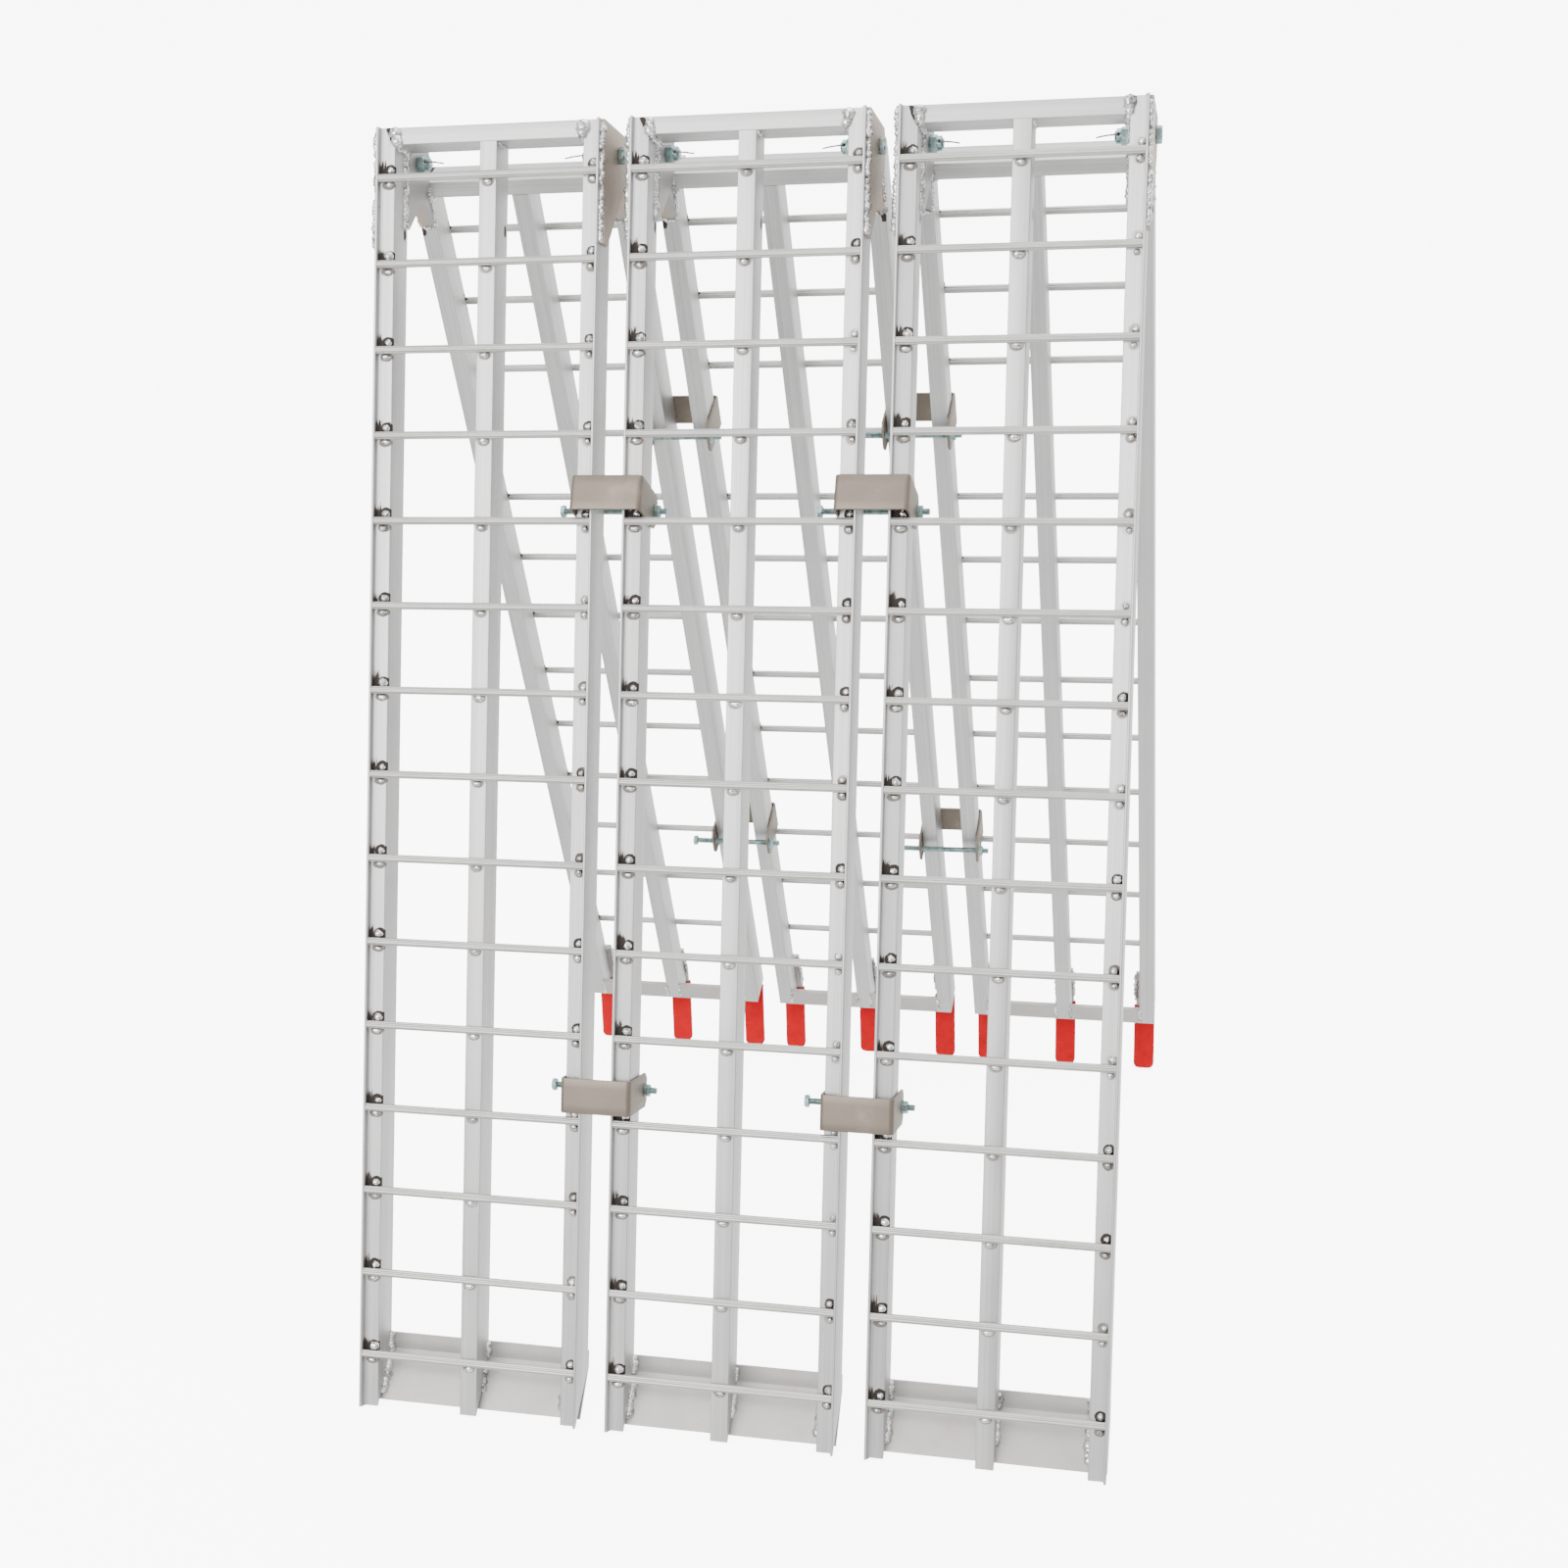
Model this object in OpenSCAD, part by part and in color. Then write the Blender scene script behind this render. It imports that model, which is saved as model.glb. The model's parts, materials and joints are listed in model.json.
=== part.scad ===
// Three-section folding loading ramp, standing open as an A-frame with its treads facing outward.
// Each section is a front half and a rear half hinged together at the top. Brackets tie the sections.
// World frame: X along the width, -Y towards the front half, Z up, origin on the floor at the middle.
// Leaf frame: origin on the hinge pin, Z up along the half, treads facing -Y.

/* [Sections] */
// Width of one section, over its side rails
section_w = 272; // [200:1:400]
// Clear gap between neighbouring sections
section_gap = 36; // [32:1:80]
// Angle between the front and rear halves
spread = 38.4; // [25:0.1:60]

/* [Rails] */
// Width of a rail
rail_w = 21; // [18:0.5:40]
// Depth of a rail, from tread face to underside
rail_d = 44; // [30:1:80]
// Wall of the rail extrusion
rail_wall = 2; // [1.2:0.1:4]
// Height of the side lip above the tread face
lip_h = 9; // [8:0.5:20]
// Thickness of the side lip
lip_t = 3; // [2:0.5:5]
// Length of the front rails
front_rail_len = 1524; // [1200:1:2400]
// Length of the rear rails
rear_rail_len = 1410; // [1200:1:2400]
// Height of the foot cut along the front rails
foot_cut_len = 60; // [40:1:90]
// Thickness left at the toe of the foot cut
foot_toe = 8; // [5:0.5:15]

/* [Rungs] */
// Diameter of a rung
rung_d = 9.5; // [7:0.5:16]
// How far the seat of a rung is flattened into its round section
rung_flat = 0.4; // [0.2:0.1:1]
// Distance from one rung to the next
rung_pitch = 100; // [60:1:150]
// Least length kept free past the last rung
rung_clear = 50; // [30:1:90]
// Drop from the hinge pin to the first front rung
front_first_rung = 32; // [25:1:60]
// Drop from the hinge pin to the first rear rung
rear_first_rung = 123; // [90:1:140]

/* [Cross members] */
// Height of the end beams at the hinge end
beam_h = 20; // [15:1:40]
// Height of the tip bar
tip_bar_h = 28; // [15:1:50]
// Thickness of the tip bar
tip_bar_t = 6; // [3:0.5:10]
// Thickness of the foot plate
foot_plate_t = 4; // [2:0.5:8]
// Height of the foot plate's upper strip on the rail underside
foot_strip_h = 19; // [10:1:40]
// How far the foot plate stops short of the rail toes
foot_plate_back = 7; // [3:0.5:20]

/* [Tip fingers] */
// Width of a tip finger
finger_w = 25.5; // [16:0.5:30]
// Thickness of a tip finger
finger_t = 6; // [4:0.5:10]
// Length of a finger welded on the rail
finger_seat = 62; // [40:1:100]
// Length of a finger past the rail end
finger_reach = 106; // [90:1:150]
// Bend of a finger at the rail end, towards the underside
finger_bend = 24; // [0:0.5:30]
// Bare length of a finger between the rail end and the sleeve
sleeve_gap = 6; // [4:0.5:30]
// Wall of the rubber sleeve
sleeve_t = 3; // [1:0.5:4]
// Radius of the sleeve's lower corners
sleeve_r = 9; // [3:0.5:10]

/* [Hinge] */
// Diameter of the hinge bolt
pin_d = 12; // [10:0.5:16]
// Distance from the rail underside back to the pin
pin_back = 23.5; // [22:0.5:40]
// Height of the front rail tops above the pin
front_top = 27; // [20:1:30]
// Drop from the pin to the rear rail tops
rear_top = 36; // [33:1:60]
// Thickness of the hinge plates
plate_t = 4; // [3:0.5:6]
// Radius of the hinge plates around the pin
plate_r = 40; // [30:1:41]
// Drop from the pin to the lower end of the outer hinge plate
outer_plate_drop = 114; // [90:1:160]
// Drop from the pin to the lower end of the inner hinge plate
inner_plate_drop = 84; // [60:1:120]
// How far the inner hinge plate laps on to the rail side
inner_plate_lap = 8; // [5:0.5:20]
// Radius of the hinge arm around the pin
arm_r = 18; // [14:0.5:20]
// Wall of the hinge arm
arm_wall = 4; // [3:0.5:6]
// Drop from the pin to the lower end of the hinge arm
arm_drop = 95; // [70:1:140]
// Side play of the arm between its plates, on each side
arm_play = 0.5; // [0.3:0.1:1]
// Width across flats of the hinge bolt head and castle nut
pin_hex = 18; // [16:0.5:24]
// Height of the hinge bolt head
pin_head_h = 7; // [5:0.5:8]
// Height of the castle nut's hexagon
castle_hex_h = 9; // [8:0.5:14]
// Height of the castle nut's slotted crown
castle_crown_h = 5; // [4:0.5:8]
// Diameter of the cotter pin wire
cotter_d = 2.6; // [2:0.1:4]
// Length of the cotter pin's free tail
cotter_tail = 24; // [12:1:40]

/* [Brackets] */
// Height of a bracket
bracket_h = 41; // [25:1:60]
// Thickness of the bracket sheet
bracket_t = 3; // [2:0.5:5]
// Play between the bracket legs and the rails, on each side
bracket_play = 0.5; // [0.3:0.1:2]
// Distance from the rail underside back to the bracket bolt
bracket_bolt_back = 12; // [11.5:0.5:12.5]
// Distance from the bracket bolt to the end of the leg
bracket_edge = 9; // [7:0.5:9.5]
// Corner cut at the leg ends
bracket_cut = 7; // [3:0.5:10]
// Sag of the upper front brackets as they hang on the rails
bracket_sag = 14.5; // [0:0.5:14.5]
// Height of a bracket's middle above the rung that it sits over
bracket_over_rung = 31; // [28:1:40]
// Rung under the upper front brackets, counted from the hinge
front_upper_rung = 5; // [2:1:5]
// Rung under the lower front brackets, counted from the foot
front_lower_rung = 4; // [2:1:5]
// Rung under the upper rear brackets, counted from the hinge
rear_upper_rung = 4; // [2:1:5]
// Rung under the lower rear brackets, counted from the tip
rear_lower_rung = 3; // [2:1:5]
// Diameter of the bracket bolts
bolt_d = 8; // [6:0.5:10]
// Width across flats of the bracket bolt heads and nuts
bolt_hex = 13; // [10:0.5:17]
// Height of the bracket bolt heads
bolt_head_h = 5.5; // [4:0.5:8]
// Height of the bracket nuts
bolt_nut_h = 6.5; // [5:0.5:9]
// Thread left showing past a bracket nut
bolt_tail = 8; // [2:0.5:12]
// Slack between a bracket bolt's head and the bracket leg
bolt_slack = 24; // [0:1:30]

/* [Hidden] */

// Radial clearance between a bolt and the hole that it fits
fit = 0.05;
// Overshoot of a cutting shape past the surface that it opens
cut = 1;
// Facets of a round surface
round_fn = 64;

// Depths below the tread side, measured from the hinge pin
under_y = -pin_back;
face_y = under_y - rail_d;
lip_y = face_y - lip_h;

// Ends of the rails, measured along the half from the hinge pin
front_foot_z = front_top - front_rail_len;
rear_end_z = -rear_top - rear_rail_len;

// Rungs that fit on a half: a front half down to its toe, a rear half down to its tip fingers
front_rungs_n = floor((-front_foot_z - front_first_rung - rung_clear) / rung_pitch) + 1;
rear_rungs_n = floor((-rear_end_z - finger_seat - rear_first_rung - rung_clear) / rung_pitch) + 1;

// Left edges of the three sections and of a section's three rails
section_step = section_w + section_gap;
section_x = [-section_step - section_w / 2, -section_w / 2, section_step - section_w / 2];
rail_x = [0, (section_w - rail_w) / 2, section_w - rail_w];
LEFT = 0;
MIDDLE = 1;
RIGHT = 2;

// Depth and height in a rear half of a point given along the bent end of a finger
function on_finger(y, z) = [
    face_y + y * cos(finger_bend) - z * sin(finger_bend),
    rear_end_z + y * sin(finger_bend) + z * cos(finger_bend)
];

// Floor line through the front toes and the lower edges of the rear sleeves. Seen from the pin,
// the lines to a toe and to a sleeve edge make a fixed angle, which gives the lean of the front
// half. The sleeve edge that meets the floor first is the one that gives the smaller lean.
toe_y = face_y + foot_toe;
toe_reach = norm([toe_y, front_foot_z]);
toe_angle = atan2(-toe_y, -front_foot_z);
sleeve_out_y = -finger_t - sleeve_t;
sleeve_end = -finger_reach - sleeve_t;
sleeve_edges = [on_finger(sleeve_t, sleeve_end), on_finger(sleeve_out_y, sleeve_end)];
function feet_angle(edge) = spread + toe_angle + atan2(-edge[0], -edge[1]);
function lean_on(edge) = atan2(toe_reach - norm(edge) * cos(feet_angle(edge)),
                               norm(edge) * sin(feet_angle(edge))) - toe_angle;
front_lean = min([for (edge = sleeve_edges) lean_on(edge)]);
rear_lean = spread - front_lean;
pin_z = toe_reach * cos(front_lean + toe_angle);

// Reach of the two halves on the floor, which centres the ramp between its feet
front_reach_y = front_foot_z * sin(front_lean) + lip_y * cos(front_lean);
rear_ends = [[lip_y, rear_end_z], on_finger(sleeve_out_y, sleeve_end)];
rear_reach_y = max([for (end = rear_ends) -end[1] * sin(rear_lean) - end[0] * cos(rear_lean)]);
pin_y = -(front_reach_y + rear_reach_y) / 2;

// Hinge stack along the pin, from the outer plate's outer face to the castle nut's end
pin_stack = rail_w + 2 * plate_t;
castle_h = castle_hex_h + castle_crown_h;
castle_slot_d = 3.2;
pin_tail = 2;
cotter_x = pin_stack + castle_hex_h + castle_crown_h / 2;
cotter_span = 22;

// Bracket inner width, legs and bolt line
bracket_in = section_gap + 2 * rail_w + 2 * bracket_play;
bracket_w = bracket_in + 2 * bracket_t;
bracket_web_y = lip_y - bracket_play;
bracket_bolt_y = under_y + bracket_bolt_back;
bracket_end_y = bracket_bolt_y + bracket_edge;

// Colours of the finishes
extruded = [0.86, 0.86, 0.85];
sheet_metal = [0.76, 0.74, 0.70];
zinc = [0.66, 0.71, 0.71];
red_rubber = [0.80, 0.10, 0.12];

// ---------------------------------------------------------------- places

// Front half: leans back from its foot, treads facing -Y
module front_half() {
    translate([0, pin_y, pin_z]) rotate([-front_lean, 0, 0]) children();
}

// Rear half: the mirror image, treads facing +Y
module rear_half() {
    translate([0, pin_y, pin_z]) rotate([rear_lean, 0, 0]) mirror([0, 1, 0]) children();
}

// Moves a shape that is built for a left rail or hinge to either side of every section
module each_hinge() {
    for (x = section_x) {
        translate([x, 0, 0]) children();
        translate([x + section_w, 0, 0]) mirror([1, 0, 0]) children();
    }
}

// Both sides of one section
module both_sides() {
    children();
    translate([section_w, 0, 0]) mirror([1, 0, 0]) children();
}

// ---------------------------------------------------------------- rails

// Box section of a rail, seen along its length
module rail_box() {
    difference() {
        translate([0, face_y]) square([rail_w, rail_d]);
        translate([rail_wall, face_y + rail_wall])
            square([rail_w - 2 * rail_wall, rail_d - 2 * rail_wall]);
    }
}

// Side rail section: the box with a lip on its outer edge, on the tread side
module lipped_box() {
    rail_box();
    translate([0, lip_y]) square([lip_t, lip_h]);
}

// Wedge that the foot cut takes off a front rail, from the underside to the toe
module foot_wedge(x, w) {
    translate([x - cut, 0, 0]) rotate([90, 0, 90]) linear_extrude(w + 2 * cut)
        polygon([
            [under_y + cut, front_foot_z + foot_cut_len],
            [under_y, front_foot_z + foot_cut_len],
            [toe_y, front_foot_z],
            [toe_y, front_foot_z - cut],
            [under_y + cut, front_foot_z - cut]
        ]);
}

module front_side_rail() {
    color(extruded) difference() {
        translate([0, 0, front_foot_z]) linear_extrude(front_rail_len) lipped_box();
        foot_wedge(0, rail_w);
    }
}

module front_center_rail() {
    color(extruded) difference() {
        translate([rail_x[MIDDLE], 0, front_foot_z])
            linear_extrude(front_rail_len - beam_h) rail_box();
        foot_wedge(rail_x[MIDDLE], rail_w);
    }
}

module rear_side_rail() {
    color(extruded) translate([0, 0, rear_end_z]) linear_extrude(rear_rail_len) lipped_box();
}

module rear_center_rail() {
    color(extruded) translate([rail_x[MIDDLE], 0, rear_end_z])
        linear_extrude(rear_rail_len - beam_h) rail_box();
}

// ---------------------------------------------------------------- rungs and cross members

// Round bar between the lips, flattened where it sits on the rail faces
module rung(z) {
    translate([lip_t, 0, z]) rotate([90, 0, 90]) linear_extrude(section_w - 2 * lip_t)
        intersection() {
            translate([face_y - rung_d / 2 + rung_flat, 0]) circle(d = rung_d, $fn = round_fn);
            translate([face_y - rung_d, -rung_d]) square([rung_d, 2 * rung_d]);
        }
}

module rungs(first, count) {
    color(extruded) for (i = [0 : count - 1]) rung(-first - i * rung_pitch);
}

// Rectangular tube across the hinge end, between the side rails
module end_beam(top) {
    color(extruded) translate([rail_w, 0, top - beam_h]) difference() {
        translate([0, face_y, 0]) cube([section_w - 2 * rail_w, rail_d, beam_h]);
        translate([-cut, face_y + rail_wall, rail_wall])
            cube([section_w - 2 * rail_w + 2 * cut, rail_d - 2 * rail_wall, beam_h - 2 * rail_wall]);
    }
}

// Bent plate under the foot: a strip on the underside, then the slope of the foot cut
module foot_plate() {
    slope = atan2(rail_d - foot_toe, foot_cut_len);
    bend_z = front_foot_z + foot_cut_len;
    slope_len = norm([rail_d - foot_toe, foot_cut_len]) - foot_plate_back;
    inside = foot_plate_t * tan(slope / 2);
    low = [under_y - slope_len * sin(slope), bend_z - slope_len * cos(slope)];
    color(sheet_metal) rotate([90, 0, 90]) linear_extrude(section_w)
        polygon([
            [under_y, bend_z + foot_strip_h],
            [under_y, bend_z],
            low,
            low + foot_plate_t * [cos(slope), -sin(slope)],
            [under_y + foot_plate_t, bend_z - inside],
            [under_y + foot_plate_t, bend_z + foot_strip_h]
        ]);
}

// Flat bars between the rails at the tip end, flush with the underside
module tip_bar() {
    span = rail_x[MIDDLE] - rail_w;
    color(sheet_metal) for (x = [rail_w, rail_x[MIDDLE] + rail_w])
        translate([x, under_y - tip_bar_t, rear_end_z]) cube([span, tip_bar_t, tip_bar_h]);
}

// ---------------------------------------------------------------- tip fingers

// Left edge of each finger: against the lip on a side rail, centred on the middle rail
function finger_x() = [lip_t, (section_w - finger_w) / 2, section_w - lip_t - finger_w];

// Flat bar welded on the tread face, then bent at the rail end towards the underside
module finger_shape(x) {
    translate([x, 0, 0]) rotate([90, 0, 90]) linear_extrude(finger_w) polygon([
        [face_y, rear_end_z + finger_seat],
        [face_y, rear_end_z],
        on_finger(0, -finger_reach),
        on_finger(-finger_t, -finger_reach),
        [face_y - finger_t, rear_end_z - finger_t * tan(finger_bend / 2)],
        [face_y - finger_t, rear_end_z + finger_seat]
    ]);
}

module tip_fingers() {
    color(sheet_metal) for (x = finger_x()) finger_shape(x);
}

// Dipped rubber sleeve round the end of a finger, with rounded lower corners
module sleeve(x) {
    w = finger_w + 2 * sleeve_t;
    len = -sleeve_gap - sleeve_end;
    difference() {
        translate([x - sleeve_t, face_y, rear_end_z]) rotate([finger_bend, 0, 0])
            translate([0, sleeve_t, sleeve_end]) rotate([90, 0, 0])
                linear_extrude(finger_t + 2 * sleeve_t) {
                    translate([0, sleeve_r]) square([w, len - sleeve_r]);
                    translate([sleeve_r, 0]) square([w - 2 * sleeve_r, 2 * sleeve_r]);
                    for (cx = [sleeve_r, w - sleeve_r])
                        translate([cx, sleeve_r]) circle(r = sleeve_r, $fn = round_fn);
                }
        finger_shape(x);
    }
}

module tip_sleeves() {
    color(red_rubber) for (x = finger_x()) sleeve(x);
}

// ---------------------------------------------------------------- hinge

// Outline of a hinge plate: round behind the pin, then tapering down on to the rail side,
// which it laps by lap. It stays inside plate_r where the rear rails swing past.
module plate_outline(drop, lap) {
    edge = atan2(front_top, pin_back);
    front_y = under_y - lap;
    difference() {
        union() {
            circle(r = plate_r, $fn = round_fn);
            polygon([
                [front_y, front_top],
                [0, front_top],
                plate_r * [cos(edge), -sin(edge)],
                [under_y - lap / 2, -drop],
                [front_y, -drop]
            ]);
        }
        translate([-plate_r, front_top]) square([2 * plate_r, plate_r]);
        translate([front_y - plate_r, -plate_r]) square([plate_r, 2 * plate_r]);
    }
}

// Room that an inner hinge plate leaves for the end beam beside it
module beam_notch() {
    translate([face_y - cut, front_top - beam_h]) square([rail_d + cut, beam_h + cut]);
}

module hinge_plate(x, drop, lap, beside_beam) {
    translate([x, 0, 0]) rotate([90, 0, 90]) difference() {
        linear_extrude(plate_t) difference() {
            plate_outline(drop, lap);
            if (beside_beam) beam_notch();
        }
        translate([0, 0, -cut]) cylinder(d = pin_d + 2 * fit, h = plate_t + 2 * cut, $fn = round_fn);
    }
}

module hinge_plates() {
    color(sheet_metal) both_sides() {
        hinge_plate(-plate_t, outer_plate_drop, rail_d, false);
        hinge_plate(rail_w, inner_plate_drop, inner_plate_lap, true);
    }
}

// Side outline of a hinge arm: an eye round the pin and a wedge that seats on the rail underside
module arm_outline(r, seat, drop) {
    slope = atan2(pin_back, arm_drop);
    circle(r = r, $fn = round_fn);
    polygon([
        [0, 0],
        [-r, 0],
        [-r, -rear_top + pin_back - r],
        [seat, -rear_top],
        [seat, -drop],
        r * [cos(slope), -sin(slope)]
    ]);
}

// Channel-shaped arm under a rear rail, folded from sheet, with the pin through both its sides
module hinge_arm() {
    arm_w = rail_w - 2 * arm_play;
    color(sheet_metal) translate([arm_play, 0, 0]) rotate([90, 0, 90]) difference() {
        linear_extrude(arm_w) arm_outline(arm_r, under_y, arm_drop);
        translate([0, 0, arm_wall]) linear_extrude(arm_w - 2 * arm_wall)
            arm_outline(arm_r - arm_wall, under_y - cut, arm_drop - 3 * arm_wall);
        translate([0, 0, -cut]) cylinder(d = pin_d + 2 * fit, h = arm_w + 2 * cut, $fn = round_fn);
    }
}

module hinge_arms() {
    both_sides() hinge_arm();
}

// Hexagon along +X with a given width across flats
module hex_bar(af, h) {
    rotate([0, 90, 0]) cylinder(d = af / cos(30), h = h, $fn = 6);
}

module round_bar(d, h) {
    rotate([0, 90, 0]) cylinder(d = d, h = h, $fn = round_fn);
}

module hinge_bolts() {
    color(zinc) each_hinge() translate([-plate_t, 0, 0]) difference() {
        union() {
            translate([-pin_head_h, 0, 0]) hex_bar(pin_hex, pin_head_h);
            round_bar(pin_d, pin_stack + castle_h + pin_tail);
        }
        translate([cotter_x, pin_d, 0]) rotate([90, 0, 0])
            cylinder(d = cotter_d + 2 * fit, h = 2 * pin_d, $fn = round_fn);
    }
}

module hinge_castle_nuts() {
    color(zinc) each_hinge() translate([-plate_t + pin_stack, 0, 0]) difference() {
        union() {
            hex_bar(pin_hex, castle_hex_h);
            round_bar(pin_hex, castle_h);
        }
        translate([-cut, 0, 0]) round_bar(pin_d + 2 * fit, castle_h + 2 * cut);
        for (turn = [30, 90, 150]) rotate([turn, 0, 0])
            translate([castle_hex_h, -castle_slot_d / 2, -pin_hex])
                cube([castle_crown_h + cut, castle_slot_d, 2 * pin_hex]);
    }
}

// Split pin through the castle nut from behind, with one tail bent out along the bolt in front
module hinge_cotter_pins() {
    color(zinc) each_hinge() translate([-plate_t + cotter_x, -cotter_span / 2, 0]) {
        rotate([-90, 0, 0]) cylinder(d = cotter_d, h = cotter_span, $fn = round_fn);
        round_bar(cotter_d, cotter_tail);
        sphere(d = cotter_d, $fn = round_fn);
    }
}

// ---------------------------------------------------------------- brackets

// Drop from the pin to the middle of a bracket over the rung with this number from the hinge
function over_rung(first, number) = first + (number - 1) * rung_pitch - bracket_over_rung;

front_drops = [
    over_rung(front_first_rung, front_upper_rung),
    over_rung(front_first_rung, front_rungs_n + 1 - front_lower_rung)
];
rear_drops = [
    over_rung(rear_first_rung, rear_upper_rung),
    over_rung(rear_first_rung, rear_rungs_n + 1 - rear_lower_rung)
];
front_sags = [bracket_sag, 0];
rear_sags = [0, 0];

// Hangs a bracket part in each row, sagging about the web's upper edge
module bracket_place(drops, sags) {
    for (row = [0 : len(drops) - 1])
        translate([0, bracket_web_y, -drops[row] + bracket_h / 2]) rotate([-sags[row], 0, 0])
            translate([0, -bracket_web_y, -bracket_h / 2]) children();
}

// Side outline of a bracket leg, from the web back past the bolt
module leg_outline() {
    polygon([
        [bracket_web_y - bracket_t, -bracket_h / 2],
        [bracket_end_y - bracket_cut, -bracket_h / 2],
        [bracket_end_y, -bracket_h / 2 + bracket_cut],
        [bracket_end_y, bracket_h / 2 - bracket_cut],
        [bracket_end_y - bracket_cut, bracket_h / 2],
        [bracket_web_y - bracket_t, bracket_h / 2]
    ]);
}

// U-shaped bracket over the neighbouring rails of two sections
module bracket() {
    translate([-bracket_w / 2, 0, 0]) difference() {
        rotate([90, 0, 90]) linear_extrude(bracket_w) leg_outline();
        translate([bracket_t, bracket_web_y, -bracket_h])
            cube([bracket_in, bracket_end_y - bracket_web_y + cut, 2 * bracket_h]);
        translate([-cut, bracket_bolt_y, 0]) round_bar(bolt_d + 2 * fit, bracket_w + 2 * cut);
    }
}

function gap_x(side) = side * section_step / 2;

module brackets(side, drops, sags) {
    color(sheet_metal) translate([gap_x(side), 0, 0]) bracket_place(drops, sags) bracket();
}

// Bolts with their heads standing off the left legs by the slack
module bracket_bolts(drops, sags) {
    color(zinc) for (side = [-1, 1]) translate([gap_x(side), 0, 0]) bracket_place(drops, sags)
        translate([-bracket_w / 2 - bolt_slack, bracket_bolt_y, 0]) {
            translate([-bolt_head_h, 0, 0]) hex_bar(bolt_hex, bolt_head_h);
            round_bar(bolt_d, bolt_slack + bracket_w + bolt_nut_h + bolt_tail);
        }
}

module bracket_nuts(drops, sags) {
    color(zinc) for (side = [-1, 1]) translate([gap_x(side), 0, 0]) bracket_place(drops, sags)
        translate([bracket_w / 2, bracket_bolt_y, 0]) difference() {
            hex_bar(bolt_hex, bolt_nut_h);
            translate([-cut, 0, 0]) round_bar(bolt_d + 2 * fit, bolt_nut_h + 2 * cut);
        }
}

// ---------------------------------------------------------------- one section

// Draws the pieces of the section called name, whose left edge is at x
module section(name, x) {
    at = [x, 0, 0];
    right = [x + section_w, 0, 0];
    front_half() translate(at) front_side_rail();
    front_half() translate(at) front_center_rail();
    front_half() translate(right) mirror([1, 0, 0]) front_side_rail();
    front_half() translate(at) rungs(front_first_rung, front_rungs_n);
    front_half() translate(at) end_beam(front_top);
    front_half() translate(at) foot_plate();
    front_half() translate(at) hinge_plates();
    rear_half() translate(at) rear_side_rail();
    rear_half() translate(at) rear_center_rail();
    rear_half() translate(right) mirror([1, 0, 0]) rear_side_rail();
    rear_half() translate(at) rungs(rear_first_rung, rear_rungs_n);
    rear_half() translate(at) end_beam(-rear_top);
    rear_half() translate(at) tip_bar();
    rear_half() translate(at) tip_fingers();
    rear_half() translate(at) tip_sleeves();
    rear_half() translate(at) hinge_arms();
}

section("left", section_x[LEFT]);
section("middle", section_x[MIDDLE]);
section("right", section_x[RIGHT]);
front_half() hinge_bolts();
front_half() hinge_castle_nuts();
front_half() hinge_cotter_pins();
front_half() brackets(-1, front_drops, front_sags);  // front_left_brackets
front_half() brackets(1, front_drops, front_sags);  // front_right_brackets
rear_half() brackets(-1, rear_drops, rear_sags);  // rear_left_brackets
rear_half() brackets(1, rear_drops, rear_sags);  // rear_right_brackets
front_half() bracket_bolts(front_drops, front_sags);  // front_bracket_bolts
front_half() bracket_nuts(front_drops, front_sags);  // front_bracket_nuts
rear_half() bracket_bolts(rear_drops, rear_sags);  // rear_bracket_bolts
rear_half() bracket_nuts(rear_drops, rear_sags);  // rear_bracket_nuts
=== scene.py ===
"""Looks of a three-section folding loading ramp, standing open on a plain floor."""
import json
import math

import bpy
import numpy as np
from mathutils import Matrix, Vector

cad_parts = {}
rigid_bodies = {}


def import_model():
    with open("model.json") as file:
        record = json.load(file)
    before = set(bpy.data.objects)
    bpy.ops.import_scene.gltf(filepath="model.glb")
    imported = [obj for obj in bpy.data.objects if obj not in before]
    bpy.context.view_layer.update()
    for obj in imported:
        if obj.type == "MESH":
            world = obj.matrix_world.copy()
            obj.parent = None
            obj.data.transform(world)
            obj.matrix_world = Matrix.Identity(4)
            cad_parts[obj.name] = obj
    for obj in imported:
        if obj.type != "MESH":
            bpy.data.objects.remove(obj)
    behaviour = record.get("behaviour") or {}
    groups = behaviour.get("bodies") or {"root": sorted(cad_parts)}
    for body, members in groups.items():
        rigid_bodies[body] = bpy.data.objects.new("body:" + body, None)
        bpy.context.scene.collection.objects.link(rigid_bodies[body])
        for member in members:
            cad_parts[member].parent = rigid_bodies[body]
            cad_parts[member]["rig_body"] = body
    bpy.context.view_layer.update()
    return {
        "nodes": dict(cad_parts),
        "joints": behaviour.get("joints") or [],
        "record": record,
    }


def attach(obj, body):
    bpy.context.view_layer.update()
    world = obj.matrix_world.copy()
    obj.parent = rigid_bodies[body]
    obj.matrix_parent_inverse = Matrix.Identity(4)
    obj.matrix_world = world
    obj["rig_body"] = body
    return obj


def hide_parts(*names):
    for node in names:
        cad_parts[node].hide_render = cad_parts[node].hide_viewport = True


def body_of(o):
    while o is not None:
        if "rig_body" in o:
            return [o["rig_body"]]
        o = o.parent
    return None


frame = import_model()

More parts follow.
